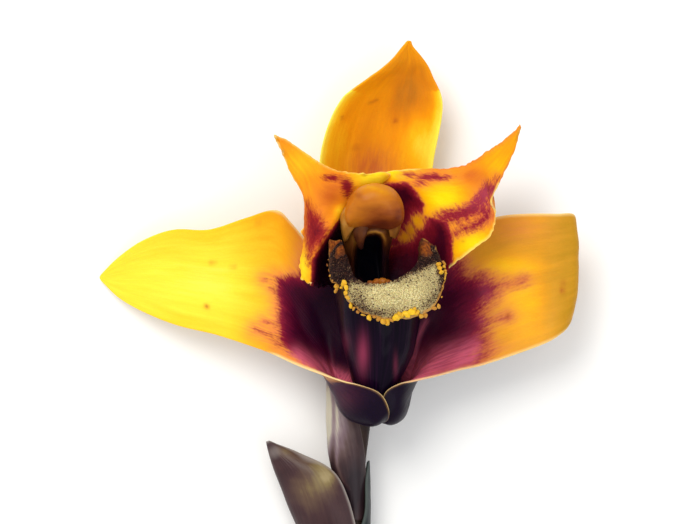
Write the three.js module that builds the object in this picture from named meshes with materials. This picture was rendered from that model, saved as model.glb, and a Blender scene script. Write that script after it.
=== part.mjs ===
// One maxillaria flower, cut with its stalk and lying on its back, face up
// Millimetres: X to the right of the face, Y from the stalk to the dorsal sepal, Z up from the surface
import * as THREE from 'three';

// Driving dimensions
const SEPAL_THICKNESS = 1.1;
const PETAL_THICKNESS = 0.9;
const LIP_THICKNESS = 1.1;
const BRACT_THICKNESS = 0.6;
const MARGIN_THICKNESS = 0.4;
const CAP_RADIUS = 5.5;
const CAP_HEIGHT = 4.6;
const STIGMA_HALF_WIDTH = 3.1;
const STALK_SIDES = 14;

// Facets along and across each thin organ
const SEPAL_FACETS = [26, 14];
const PETAL_FACETS = [20, 12];
const LIP_FACETS = [20, 18];
const BRACT_FACETS = [16, 12];

function curveThrough(points) {
  return new THREE.CatmullRomCurve3(points, false, 'catmullrom', 0.5);
}

function vector(point) {
  return new THREE.Vector3(...point);
}

// Middle surface of a thin organ: cross sections from its base to its tip, each a few points
// from one margin to the other, are spaced evenly and joined by smooth curves lengthwise
function middleSurface(sections, [rows, columns]) {
  const ribs = sections.map((section) => curveThrough(section.map(vector)).getSpacedPoints(columns));
  const rails = ribs[0].map((_, column) => curveThrough(ribs.map((rib) => rib[column])));
  const grid = [];
  for (let row = 0; row <= rows; row++) {
    grid.push(rails.map((rail) => rail.getPoint(row / rows)));
  }
  return grid;
}

// Full thickness in the middle, thin at both margins and at the tip
function leafThickness(along, across, thickness) {
  const edge = Math.abs(2 * across - 1) ** 3;
  const tip = along ** 8;
  return THREE.MathUtils.lerp(thickness, MARGIN_THICKNESS, Math.max(edge, tip));
}

function surfaceNormal(grid, row, column) {
  const rows = grid.length - 1;
  const columns = grid[0].length - 1;
  const lengthwise = grid[Math.min(row + 1, rows)][column].clone();
  lengthwise.sub(grid[Math.max(row - 1, 0)][column]);
  const crosswise = grid[row][Math.min(column + 1, columns)].clone();
  crosswise.sub(grid[row][Math.max(column - 1, 0)]);
  return lengthwise.cross(crosswise).normalize();
}

function geometryFrom(points, faces) {
  const geometry = new THREE.BufferGeometry();
  geometry.setFromPoints(points);
  geometry.setIndex(faces);
  geometry.computeVertexNormals();
  return geometry;
}

// Closed sheet: the middle surface moved half the thickness to each side, with a wall all round
function sheet(sections, facets, thickness) {
  const grid = middleSurface(sections, facets);
  const [rows, columns] = facets;
  const points = [];
  const faces = [];
  grid.forEach((line, row) => line.forEach((middle, column) => {
    const half = leafThickness(row / rows, column / columns, thickness) / 2;
    const normal = surfaceNormal(grid, row, column);
    points.push(middle.clone().addScaledVector(normal, half));
    points.push(middle.clone().addScaledVector(normal, -half));
  }));
  const front = (row, column) => 2 * (row * (columns + 1) + column);
  const back = (row, column) => front(row, column) + 1;
  const quad = (a, b, c, d) => faces.push(a, b, c, a, c, d);
  const wall = (rowA, columnA, rowB, columnB) => {
    quad(front(rowB, columnB), front(rowA, columnA), back(rowA, columnA), back(rowB, columnB));
  };
  for (let row = 0; row < rows; row++) {
    for (let column = 0; column < columns; column++) {
      quad(front(row, column), front(row + 1, column), front(row + 1, column + 1), front(row, column + 1));
      quad(back(row, column), back(row, column + 1), back(row + 1, column + 1), back(row + 1, column));
    }
    wall(row, 0, row + 1, 0);
    wall(row + 1, columns, row, columns);
  }
  for (let column = 0; column < columns; column++) {
    wall(rows, column, rows, column + 1);
    wall(0, column + 1, 0, column);
  }
  return geometryFrom(points, faces);
}

// Closed stalk: one ring at each station of a path, joined side by side, with a flat cap at each end
// outline(angle, station) gives a ring point as [sideways, towards the front] in millimetres
function stalk(path, steps, sides, outline) {
  const spine = curveThrough(path.map((station) => new THREE.Vector3(...station.at)));
  const sideways = new THREE.Vector3(1, 0, 0);
  const points = [];
  const faces = [];
  for (let step = 0; step <= steps; step++) {
    const along = step / steps;
    const centre = spine.getPoint(along);
    const towardsFront = sideways.clone().cross(spine.getTangent(along)).normalize();
    ringOutline(outline, sides, blendStations(path, along)).forEach((flat) => {
      const point = centre.clone().addScaledVector(sideways, flat.x);
      points.push(point.addScaledVector(towardsFront, flat.y));
    });
  }
  for (let step = 0; step < steps; step++) {
    for (let side = 0; side < sides; side++) {
      const next = (side + 1) % sides;
      const [a, b] = [step * sides + side, step * sides + next];
      faces.push(a, a + sides, b + sides, a, b + sides, b);
    }
  }
  const last = steps * sides;
  const startCap = THREE.ShapeUtils.triangulateShape(ringOutline(outline, sides, path[0]), []);
  const endCap = THREE.ShapeUtils.triangulateShape(ringOutline(outline, sides, path.at(-1)), []);
  startCap.forEach(([a, b, c]) => faces.push(a, b, c));
  endCap.forEach(([a, b, c]) => faces.push(last + c, last + b, last + a));
  return geometryFrom(points, faces);
}

function ringOutline(outline, sides, station) {
  return Array.from({ length: sides }, (_, side) => (
    new THREE.Vector2(...outline((2 * Math.PI * side) / sides, station))
  ));
}

// Sizes between two stations of a path change evenly
function blendStations(path, along) {
  const place = along * (path.length - 1);
  const index = Math.min(Math.floor(place), path.length - 2);
  const share = place - index;
  const blended = {};
  Object.keys(path[index]).filter((key) => key !== 'at').forEach((key) => {
    blended[key] = THREE.MathUtils.lerp(path[index][key], path[index + 1][key], share);
  });
  return blended;
}

function ellipse(angle, { width, depth }) {
  return [(width / 2) * Math.cos(angle), (depth / 2) * Math.sin(angle)];
}

function organ(name, geometry, color, roughness) {
  const material = new THREE.MeshStandardMaterial({ color, roughness, metalness: 0 });
  const mesh = new THREE.Mesh(geometry, material);
  mesh.name = name;
  return mesh;
}

// Upright sepal behind the petals: hollow towards the front, its back on the surface
function dorsalSepal() {
  const sections = [
    [[1.5, -5, 8.2], [4.5, -5, 7.4], [7.5, -5, 8.2]],
    [[-3, 3, 9], [1, 3, 6.2], [5, 3, 5.2], [9, 3, 6.2], [13, 3, 9]],
    [[-6, 12, 9], [-1, 12, 4], [5, 12, 2.2], [11, 12, 4], [16, 12, 9]],
    [[-6.4, 21, 9.4], [-1, 21, 3.4], [5.8, 21, 0.8], [12, 21, 3.2], [17.6, 21, 9]],
    [[-4.4, 29, 10.4], [1, 29.3, 4.6], [7, 29.3, 2], [13.5, 29.3, 4.2], [19.1, 29, 9.6]],
    [[-1.3, 34.7, 11.2], [3.5, 35, 6.6], [9, 35.1, 4.8], [14.5, 35.3, 6.8], [19.3, 34, 10.4]],
    [[3.7, 38.4, 12], [8, 39, 8.8], [12.8, 39.3, 8], [17.6, 38.6, 10.6]],
    [[8.3, 42, 12.8], [11.8, 42.4, 11], [15.9, 41.9, 12]],
    [[10.8, 44.9, 13.8], [12.2, 45, 13.3], [13.4, 44.8, 13.6]],
    [[12.1, 46.2, 14.5], [12.4, 46.3, 14.4], [12.7, 46.2, 14.5]],
  ];
  return organ('dorsal_sepal', sheet(sections, SEPAL_FACETS, SEPAL_THICKNESS), 0xf0930c, 0.45);
}

// Left sepal: its base runs down the column foot and turns up in front as the left half of the chin,
// its front margin lies over the right one, and its tip comes down to the surface
function lateralSepalLeft() {
  const sections = [
    [[1.9, -9, 11.5], [1.9, -16, 12.5], [2.1, -24, 15.5], [2.8, -30.5, 17.2], [5, -33, 18.6]],
    [[0.8, -8, 11], [-0.2, -16, 11], [-0.4, -24, 12.8], [0.8, -30.6, 15.6], [4, -33.3, 18.4], [7.6, -33.4, 21.6]],
    [[-1, -5, 10.6], [-2, -14, 9.6], [-2.2, -23, 11], [-1.2, -30, 14.5], [1.4, -33, 19],
      [5, -33.5, 23.6], [8.2, -31.2, 25.6]],
    [[-4, -1, 10.8], [-4.4, -12, 8.6], [-4, -21, 9.8], [-3, -27.5, 14], [-1, -31.6, 19.4],
      [3, -30.8, 24.2], [6.4, -27.9, 26.2]],
    [[-8, 3, 12], [-8, -8, 8.6], [-6.6, -17, 9.8], [-4.8, -23, 13], [-3.2, -27.2, 18],
      [-0.6, -26.6, 22.4], [2, -26, 25]],
    [[-12.4, 8.4, 14], [-12.2, -4, 9.6], [-10.4, -13, 9.4], [-7.8, -19.5, 12.4], [-5.2, -23.6, 17.6],
      [-3, -24.6, 22.6]],
    [[-15.6, 10.9, 15.6], [-16, 0, 10.4], [-14.6, -9, 9.6], [-12.4, -16, 12.4], [-10.2, -21.8, 18.4]],
    [[-22, 9.2, 15], [-22, 0, 10.6], [-21, -8, 9.4], [-19.6, -13.5, 11.4], [-18, -18.6, 15.8]],
    [[-29.5, 6.8, 12.6], [-29.5, 0, 9.6], [-29, -7, 8.8], [-27.6, -15.4, 12.6]],
    [[-37, 6.9, 9.4], [-37, 0.5, 7], [-36.8, -5.5, 6.6], [-36, -13.5, 9.6]],
    [[-43.8, 4.6, 5.8], [-44, -1, 4.2], [-43.4, -10.7, 6.2]],
    [[-49.2, 1, 2.6], [-49.8, -2.8, 1.9], [-49, -7.6, 2.8]],
    [[-53.1, -2.8, 0.7], [-53.3, -3.3, 0.6], [-53.1, -3.8, 0.7]],
  ];
  return organ('lateral_sepal_left', sheet(sections, SEPAL_FACETS, SEPAL_THICKNESS), 0xf2b705, 0.45);
}

// Right sepal: the same from the column foot outwards, its end bent back and down to the surface
function lateralSepalRight() {
  const sections = [
    [[7.9, -9, 11.5], [8, -16, 12.5], [8, -24, 15.5], [7.6, -30, 17], [6.8, -31.4, 18.2]],
    [[9.2, -8, 11], [10.4, -16, 11], [10.6, -24, 12.8], [9.8, -30.2, 15.6], [8.6, -32, 18], [6.4, -31.8, 20]],
    [[11.2, -5, 10.6], [12.2, -14, 9.6], [12.4, -23, 11], [11.6, -29.5, 14.5], [10.4, -33, 18.2],
      [8.6, -32.6, 21.4], [6.6, -30.4, 22.8]],
    [[14.2, -1, 10.8], [14.8, -12, 8.6], [14.4, -21, 9.8], [13, -27, 13.8], [11.6, -30.8, 18.4],
      [10, -30.2, 22.2], [7.4, -27.8, 23.8]],
    [[18.2, 3, 12], [18.2, -8, 8.6], [16.6, -16.5, 9.8], [14.6, -22.5, 12.8], [13, -27, 17.4],
      [11.8, -27.2, 21.4], [10.2, -25.7, 24]],
    [[22.2, 6, 13], [22.2, -4, 9.6], [20.4, -12.5, 9.8], [17.8, -18.8, 12.6], [15.4, -22.6, 17.2],
      [13.6, -24.7, 22.4]],
    [[27, 8.4, 14], [27, -2, 10.8], [26, -11, 10.4], [24, -17.5, 13], [21, -23, 19.4]],
    [[32, 9.7, 15.4], [32, 0, 12.2], [31.6, -9, 11.8], [30.4, -15, 13.4], [29, -21.1, 17.8]],
    [[37.6, 10.1, 17], [37.8, 1, 14.4], [37.8, -8, 13.8], [37.2, -18.4, 17]],
    [[43, 10.1, 18.2], [43.2, 1, 16.6], [43.2, -7.5, 16.2], [42.4, -16.2, 17.4]],
    [[46.7, 10, 16.6], [47, 1.5, 16], [46.9, -6, 15.6], [45.9, -13.2, 15]],
    [[46.6, 7.4, 11.2], [46.9, 0, 10.6], [46.4, -9.6, 10.6]],
    [[44.8, 3.4, 5.6], [45, -1, 5.2], [44.8, -5.4, 5.4]],
    [[42.9, -0.6, 0.8], [42.8, -1, 0.7], [42.9, -1.4, 0.8]],
  ];
  return organ('lateral_sepal_right', sheet(sections, SEPAL_FACETS, SEPAL_THICKNESS), 0xf0ac06, 0.45);
}

// Left petal: rises beside the column as a wall, turns outwards over a fold and ends in a point
function petalLeft() {
  const sections = [
    [[1.6, 2, 13], [0, -1.5, 13], [-0.4, -5.5, 13.5]],
    [[2.2, 8, 14], [-1.4, 4.4, 15.4], [-3.4, 0, 16.4], [-4, -5.5, 17]],
    [[3.6, 14, 16], [-1.2, 9.4, 18.6], [-4.4, 3.6, 20.4], [-6, -1.8, 20.8], [-6.4, -5.9, 20.4]],
    [[4.8, 17.8, 18.2], [0, 13, 21], [-3.6, 7.8, 24.6], [-6.8, 2.4, 25], [-8.6, -5.4, 23]],
    [[0.6, 18.8, 20.4], [-3.2, 13.6, 24], [-5.8, 8.2, 25.6], [-8.4, 2.8, 24.8], [-10.8, -3.3, 22.6]],
    [[-4.4, 20, 23], [-6.4, 14.5, 25.6], [-8, 9, 25], [-10.3, 2.8, 22.4]],
    [[-8.8, 22.4, 25.8], [-9.4, 16.6, 26.4], [-9.4, 12.4, 24.4]],
    [[-12.4, 24.8, 28.2], [-12.5, 21.4, 28], [-12.2, 18.2, 26.8]],
    [[-14.6, 25.8, 30], [-14.5, 24.6, 29.9], [-14.2, 23, 29.4]],
    [[-15.5, 26.2, 30.8], [-15.5, 25.9, 30.8], [-15.3, 25.6, 30.7]],
  ];
  return organ('petal_left', sheet(sections, PETAL_FACETS, PETAL_THICKNESS), 0xef8e12, 0.45);
}

// Right petal: opens wider, with a round lobe on its lower margin and a long point
function petalRight() {
  const sections = [
    [[7.6, 2, 13], [9.6, -1.5, 13], [10, -5.5, 13.5]],
    [[7.4, 8, 14], [11.2, 4.4, 15], [13, 0, 15.6], [13.6, -5, 16]],
    [[5.6, 14, 14.4], [12, 10, 17.6], [16, 4.4, 18.6], [18, -3.4, 18.4]],
    [[4, 18, 16], [13, 15, 20.4], [18.2, 9, 21.6], [21, 3.6, 21.8], [21.4, -0.8, 21.2]],
    [[12.4, 19.4, 19.6], [18.8, 14.6, 22.4], [22.6, 8.6, 23.2], [25.2, 2.2, 22.6]],
    [[20.8, 19.6, 22.4], [24, 15, 24], [27, 10, 24.2], [29.4, 5.6, 23.2]],
    [[25.6, 21.2, 24.8], [27.8, 16.4, 25.6], [30.8, 10.2, 24.2]],
    [[29.8, 23.9, 27.2], [30.9, 20.3, 27.6], [31.7, 15.8, 26.2]],
    [[33.2, 26.5, 29.8], [33.8, 24.5, 30], [34, 22.2, 29.2]],
    [[34.7, 28.2, 31.4], [35, 27.8, 31.4], [35.1, 27.2, 31.3]],
  ];
  return organ('petal_right', sheet(sections, PETAL_FACETS, PETAL_THICKNESS), 0xf3b20a, 0.45);
}

// Lip: a trough hinged on the column foot, open towards the column, its front rim rolled outwards
function lip() {
  const sections = [
    [[3.8, -29.6, 20.6], [5.4, -30, 21.4], [7, -29.6, 20.6]],
    [[0.6, -24.6, 18.4], [2.4, -25.6, 22], [5.6, -26, 23.4], [8.8, -25.6, 22], [10.4, -24.6, 18.4]],
    [[-1.2, -15, 17], [-1.2, -17, 21.6], [1.4, -18, 25.6], [6, -18.4, 27], [10.6, -18, 25.6],
      [13.2, -17, 21.6], [13.2, -15, 17]],
    [[-2.4, -5, 18], [-2.6, -7.4, 23], [-0.4, -9.2, 27.6], [5.8, -10.4, 30], [12, -9.2, 27.6],
      [14.4, -7.4, 23], [14.2, -5, 18]],
    [[-2.4, 3.8, 22.4], [-1.6, -1, 27], [0.4, -5.2, 31], [6, -6.6, 32.8], [11.8, -4.8, 31.6],
      [14.8, -1, 27.8], [14.4, 2.6, 23]],
    [[-1.9, 4.5, 25.6], [-0.9, 0, 30], [1, -4.2, 33.6], [6.2, -5.1, 34.8], [11.4, -3.4, 33.9],
      [14.9, 0.2, 30.6], [15.1, 4.1, 27]],
    [[-3.5, 4.6, 26], [-3, -1.4, 31.4], [-0.4, -6.6, 34.6], [6.8, -8.8, 36], [13.8, -7, 35.4],
      [17.8, -2.2, 32.8], [16.5, 4, 28.6]],
    [[-5.1, 4.6, 25.6], [-4.5, -2, 30.6], [-1.4, -8.6, 33.6], [7, -12.6, 35.4], [16.2, -10.8, 35],
      [19.9, -3.4, 32.8], [17.7, 3.3, 29.2]],
  ];
  return organ('lip', sheet(sections, LIP_FACETS, LIP_THICKNESS), 0xc9b27a, 0.8);
}

// Column and its foot, one piece: half round behind, with the stigma hollow along its front
function column() {
  const path = [
    { at: [5.2, -30.4, 18.4], width: 2.4, depth: 1.4, hollow: 0 },
    { at: [5.1, -24, 15.8], width: 3.4, depth: 2, hollow: 0 },
    { at: [5, -16, 12.8], width: 4, depth: 2.6, hollow: 0.2 },
    { at: [4.6, -9, 12.6], width: 4.6, depth: 3.6, hollow: 0.4 },
    { at: [4, -3, 15.4], width: 8, depth: 4.8, hollow: 2.4 },
    { at: [3.6, 2.4, 18.6], width: 9.6, depth: 5.8, hollow: 3.6 },
    { at: [4.1, 7.4, 22], width: 11.8, depth: 6.4, hollow: 0.8 },
    { at: [4.9, 10.4, 24], width: 10.4, depth: 5, hollow: 0 },
  ];
  const outline = (angle, { width, depth, hollow }) => {
    const across = (width / 2) * Math.cos(angle);
    const inHollow = Math.sin(angle) > 0 ? Math.max(0, 1 - (across / STIGMA_HALF_WIDTH) ** 4) : 0;
    return [across, (depth / 2) * Math.sin(angle) - hollow * inHollow];
  };
  return organ('column', stalk(path, 24, 24, outline), 0xb06a22, 0.5);
}

// Anther cap: a low dome with a brim, seated on the column's end
function antherCap() {
  const profile = [
    [0, 0], [0.5, 0.05], [0.92, 0], [1, 0.12], [0.98, 0.34], [0.86, 0.64], [0.62, 0.88], [0.32, 0.98], [0, 1],
  ].map(([radius, height]) => new THREE.Vector2(radius * CAP_RADIUS, height * CAP_HEIGHT));
  const mesh = organ('anther_cap', new THREE.LatheGeometry(profile, 24), 0xd98a2c, 0.4);
  mesh.position.set(5.7, 11.7, 26.4);
  mesh.rotation.set(THREE.MathUtils.degToRad(52), 0, 0);
  return mesh;
}

// Ovary with its short stem, from the bract's node up to the back of the chin
function ovary() {
  const path = [
    { at: [1.2, -51.6, 6.8], width: 3.2, depth: 3.2 },
    { at: [1.2, -44, 7.6], width: 4, depth: 4 },
    { at: [1.7, -34, 8], width: 5.6, depth: 5.4 },
    { at: [2.6, -24, 7.2], width: 6.4, depth: 5.2 },
    { at: [3.8, -15, 7.4], width: 5.6, depth: 4.6 },
    { at: [4.6, -8.6, 8.2], width: 4, depth: 3 },
  ];
  return organ('ovary', stalk(path, 16, STALK_SIDES, ellipse), 0x4a3526, 0.5);
}

// Flower stalk below the bract, lying down to its square cut end
function scape() {
  const path = [
    { at: [3, -86, 3], width: 4, depth: 4 },
    { at: [2.6, -76, 3.5], width: 3.8, depth: 3.8 },
    { at: [1.8, -64, 5], width: 3.4, depth: 3.4 },
    { at: [1.2, -52, 6.7], width: 3.2, depth: 3.2 },
  ];
  return organ('scape', stalk(path, 10, STALK_SIDES, ellipse), 0x4a3a30, 0.55);
}

// Bract round the ovary, open to the right
function floralBract() {
  const sections = [
    [[2.6, -54.5, 8.6], [0.2, -54.5, 8.6], [-1.1, -54.5, 6.4], [0.2, -54.5, 4.2], [2.2, -54.5, 4]],
    [[2, -49, 9.8], [-0.8, -49, 9.6], [-2.2, -49, 7], [-0.8, -49, 4.6], [1.6, -49, 4.2]],
    [[0.8, -42, 11.4], [-2.2, -42, 10.8], [-4, -42, 8], [-2.4, -42, 5], [1.4, -42, 4]],
    [[0, -34, 12], [-3.2, -34, 11], [-4.8, -34, 8], [-3.2, -34, 5], [1, -34, 3.8]],
    [[-0.4, -27, 10.4], [-3.2, -27, 9.4], [-4.8, -27, 7.4], [-3.4, -27, 4.8], [0.4, -27, 3.4]],
    [[-2.6, -22.6, 6.6], [-3.6, -22.4, 6], [-4.2, -22.4, 5], [-3.2, -22.4, 4], [-1.6, -22.6, 3.4]],
    [[-3, -20.4, 4.8], [-3.2, -20.3, 4.6], [-3.3, -20.3, 4.4], [-3.2, -20.3, 4.2], [-3, -20.4, 4]],
  ];
  return organ('floral_bract', sheet(sections, BRACT_FACETS, BRACT_THICKNESS), 0x7d6a70, 0.5);
}

// Narrow sheath on the stalk's right side, below the bract
function scapeSheathUpper() {
  const sections = [
    [[-0.2, -66, 6.8], [1.6, -66, 7.6], [4.5, -66, 5.1], [2.6, -66, 2.1], [-0.2, -66, 2.7]],
    [[0.6, -60, 8], [2.4, -60, 8.3], [4.3, -60, 5.6], [2.6, -60, 3], [0.6, -60, 2.9]],
    [[2.9, -53, 9.8], [3.8, -53, 8.8], [4.3, -53, 6.6], [3.6, -53, 4], [2.4, -53, 2.8]],
    [[3.3, -46, 9.6], [3.9, -46, 8.8], [4.3, -46, 7.2], [4, -46, 5.2], [3.2, -46, 4.2]],
    [[4, -42, 7.7], [4.2, -41.8, 7.4], [4.3, -41.7, 7], [4.2, -41.8, 6.6], [4, -42, 6.2]],
  ];
  return organ('scape_sheath_upper', sheet(sections, BRACT_FACETS, BRACT_THICKNESS), 0x3c4444, 0.5);
}

// Broad sheath at the stalk's foot, loose and boat shaped, with a free point to the left
function scapeSheathLower() {
  const sections = [
    [[5.2, -80, 4.8], [3.2, -80, 6], [0, -80, 4.2], [0.7, -80, 1.1], [3.6, -80, 0.4]],
    [[5.4, -70, 7.4], [2.4, -70, 8.6], [-4.6, -70, 6], [-1, -70, 1.4], [3.4, -70, 0.7]],
    [[2.4, -60, 10.8], [-2.4, -60.4, 11], [-9, -60.6, 6.4], [-5, -60.4, 1.6], [0.6, -60, 0.9]],
    [[-0.2, -50, 11.6], [-6, -50.6, 12], [-13, -51, 7.4], [-9, -50.4, 3], [-3, -50, 1.8]],
    [[-3.4, -44, 11], [-9, -44.4, 11.4], [-15.5, -44.6, 8], [-11.4, -44, 4.4], [-6, -43.4, 3.4]],
    [[-9.8, -40.6, 9.6], [-13.4, -41, 9.8], [-16.7, -41, 8], [-14, -40.6, 6], [-11, -40.2, 5.6]],
    [[-17.1, -37.9, 8], [-17.3, -37.8, 8], [-17.5, -37.8, 7.8], [-17.4, -37.8, 7.6], [-17.2, -37.9, 7.6]],
  ];
  return organ('scape_sheath_lower', sheet(sections, BRACT_FACETS, BRACT_THICKNESS), 0x5a4030, 0.5);
}

// The whole flower, moved so that its origin is under the middle of its outline, on the surface
function wholeFlower() {
  const flower = new THREE.Group();
  flower.add(dorsalSepal(), lateralSepalLeft(), lateralSepalRight(), petalLeft(), petalRight());
  flower.add(lip(), column(), antherCap());
  flower.add(ovary(), floralBract(), scape(), scapeSheathUpper(), scapeSheathLower());
  const box = new THREE.Box3().setFromObject(flower, true);
  const middle = box.getCenter(new THREE.Vector3());
  flower.position.set(-middle.x, -middle.y, -box.min.z);
  return flower;
}

export default wholeFlower();
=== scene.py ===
# A maxillaria orchid flower, cut with its stalk and lying on its back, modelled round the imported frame
import math
import bmesh
import bpy
import numpy as np
from mathutils import Matrix, Vector, noise


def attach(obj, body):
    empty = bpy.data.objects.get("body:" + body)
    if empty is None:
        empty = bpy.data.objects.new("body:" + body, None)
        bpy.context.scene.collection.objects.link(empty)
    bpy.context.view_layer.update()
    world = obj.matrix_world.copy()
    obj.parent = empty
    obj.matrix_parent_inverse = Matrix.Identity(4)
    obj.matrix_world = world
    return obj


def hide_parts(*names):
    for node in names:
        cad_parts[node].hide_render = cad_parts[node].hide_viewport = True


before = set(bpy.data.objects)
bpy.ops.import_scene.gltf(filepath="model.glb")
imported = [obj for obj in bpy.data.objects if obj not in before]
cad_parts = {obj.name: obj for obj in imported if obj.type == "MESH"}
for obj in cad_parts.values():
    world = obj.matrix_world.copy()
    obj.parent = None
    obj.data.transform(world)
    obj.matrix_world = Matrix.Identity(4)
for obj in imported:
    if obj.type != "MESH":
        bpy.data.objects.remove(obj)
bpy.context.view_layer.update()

# Dorsal sepal
# The upright sepal behind the petals: one thick waxy leaf, hollow towards the front, that lies
# on its back. Its orange skin glows pale yellow along the thin margins, is painted darker at the
# tip with shade, and is redder at the base, partly painted shade under the petals.
# A millimetre in metres. The eye's height above the table, and that of the plane on which the
# picture's millimetres hold. Where the frame has the flower's own origin, the picture's middle
MM = 0.001
EYE_HEIGHT = 900
PICTURE_HEIGHT = 12
FLOWER_PLACE = np.array((2.783, 19.835, -0.202))
SEPAL_THICKNESS = 1.1
SEPAL_GRID = (110, 58)
MARGIN_THICKNESS = 0.4
# Cross sections from base to tip, each a line of points across the organ, in millimetres
DORSAL_SECTIONS = [
    [(1.5, -5, 8.2), (4.5, -5, 7.4), (7.5, -5, 8.2)],
    [(-3, 3, 9), (1, 3, 6.2), (5, 3, 5.2), (9, 3, 6.2), (13, 3, 9)],
    [(-6, 12, 9), (-1, 12, 4), (5, 12, 2.2), (11, 12, 4), (16, 12, 9)],
    [(-6.4, 21, 9.4), (-1, 21, 3.4), (5.8, 21, 0.8), (12, 21, 3.2), (17.6, 21, 9)],
    [(-4.4, 29, 10.4), (1, 29.3, 4.6), (7, 29.3, 2), (13.5, 29.3, 4.2), (19.1, 29, 9.6)],
    [(-1.3, 34.7, 11.2), (3.5, 35, 6.6), (9, 35.1, 4.8), (14.5, 35.3, 6.8), (19.3, 34, 10.4)],
    [(3.7, 38.4, 12), (8, 39, 8.8), (12.8, 39.3, 8), (17.6, 38.6, 10.6)],
    [(8.3, 42, 12.8), (11.8, 42.4, 11), (15.9, 41.9, 12)],
    [(10.8, 44.9, 13.8), (12.2, 45, 13.3), (13.4, 44.8, 13.6)],
    [(12.1, 46.2, 14.5), (12.4, 46.3, 14.4), (12.7, 46.2, 14.5)],
]


def curve_through(points, shares):
    """A smooth curve through given points, read at shares of its way from 0 to 1."""
    points = np.asarray(points, float)
    spread = np.concatenate(([2 * points[0] - points[1]], points, [2 * points[-1] - points[-2]]))
    place = np.asarray(shares, float) * (len(points) - 1)
    step = np.minimum(place.astype(int), len(points) - 2)
    t = (place - step).reshape((-1,) + (1,) * (points.ndim - 1))
    before, start, end, after = (spread[step + k] for k in range(4))
    leaving, arriving = (end - before) / 2, (after - start) / 2
    bend = 3 * (end - start) - 2 * leaving - arriving
    return start + t * leaving + t**2 * bend + t**3 * (2 * (start - end) + leaving + arriving)


def evenly_spaced(points, columns):
    """The same curve cut into stretches of equal length."""
    trial = np.linspace(0, 1, 201)
    line = curve_through(points, trial)
    run = np.append(0, np.linalg.norm(np.diff(line, axis=0), axis=1).cumsum())
    return curve_through(points, np.interp(np.linspace(0, run[-1], columns + 1), run, trial))


def middle_surface(sections, rows, columns):
    """The middle of a thin organ in millimetres: rows from base to tip, columns across it."""
    ribs = np.array([evenly_spaced(section, columns) for section in sections])
    return curve_through(ribs, np.linspace(0, 1, rows + 1))


def unit(vectors):
    return vectors / np.linalg.norm(vectors, axis=2, keepdims=True)


def normals_of(surface):
    return unit(np.cross(np.gradient(surface, axis=1), np.gradient(surface, axis=0)))


def shares_of(surface):
    """Each point's share of the way along the organ and across it."""
    rows, columns = surface.shape[:2]
    return np.meshgrid(np.linspace(0, 1, rows), np.linspace(0, 1, columns), indexing="ij")


def cloud(surface, size, seed):
    """Smooth noise from -1 to 1 over a surface, with lumps of about that size in millimetres."""
    origin = Vector((seed, 2 * seed, 3 * seed))
    flat = [noise.noise(Vector(point) / size + origin) for point in surface.reshape(-1, 3)]
    return np.array(flat).reshape(surface.shape[:2])


def uneven(surface, *lumps):
    """The surface with lumps on it: their height and size in millimetres, and a seed."""
    rise = sum(height * cloud(surface, size, seed) for height, size, seed in lumps)
    return surface + normals_of(surface) * rise[..., None]


def as_seen(surface):
    """Where each point of a surface shows from straight above, in millimetres of the picture."""
    scale = (EYE_HEIGHT - PICTURE_HEIGHT) / (EYE_HEIGHT - surface[..., 2])
    return surface[..., :2] * scale[..., None]


def patch(seen, centre, reach):
    """1 in the middle of an oval patch of colour, fading out at its reach in millimetres."""
    return np.exp(-2 * (((seen - centre) / reach) ** 2).sum(axis=-1))


def patches(seen, places):
    """Patches of colour added up, each given by its strength, its centre and its reach."""
    return sum(strength * patch(seen, centre, reach) for strength, centre, reach in places)


def fading(distance, reach):
    """1 at no distance, fading out past the reach."""
    return np.exp(-((distance / reach) ** 2))


def rising(values, start, end):
    """0 up to the start, 1 from the end on, and evenly rising between them."""
    return np.clip((values - start) / (end - start), 0, 1)


def distance_to(seen, line):
    """How far each point lies from a line of straight stretches, in millimetres."""
    nearest = np.full(seen.shape[:-1], np.inf)
    for start, end in zip(np.array(line[:-1], float), np.array(line[1:], float)):
        way = end - start
        share = np.clip((seen - start) @ way / (way @ way), 0, 1)
        nearest = np.minimum(nearest, np.linalg.norm(seen - start - share[..., None] * way, axis=-1))
    return nearest


def depth_inside(seen, outline):
    """How deep each point lies inside a closed outline, in millimetres, and negative outside."""
    closed = [*outline, outline[0]]
    inside = np.zeros(seen.shape[:-1], bool)
    for (x0, y0), (x1, y1) in zip(closed[:-1], closed[1:]):
        if y0 != y1:
            spans = (y0 > seen[..., 1]) != (y1 > seen[..., 1])
            inside ^= spans & (seen[..., 0] < x0 + (seen[..., 1] - y0) * (x1 - x0) / (y1 - y0))
    return np.where(inside, 1, -1) * distance_to(seen, closed)


def ways_out(surface):
    """How far each point is from the nearer side margin and from the far end, in millimetres."""
    across = np.linalg.norm(np.diff(surface, axis=1), axis=2).cumsum(axis=1)
    across = np.concatenate((np.zeros((len(surface), 1)), across), axis=1)
    along = np.linalg.norm(np.diff(surface, axis=0), axis=2).cumsum(axis=0)
    along = np.concatenate((np.zeros((1, surface.shape[1])), along), axis=0)
    return np.minimum(across, across[:, -1:] - across), along[-1:] - along


def margin_distance(surface):
    return np.minimum(*ways_out(surface))


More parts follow.
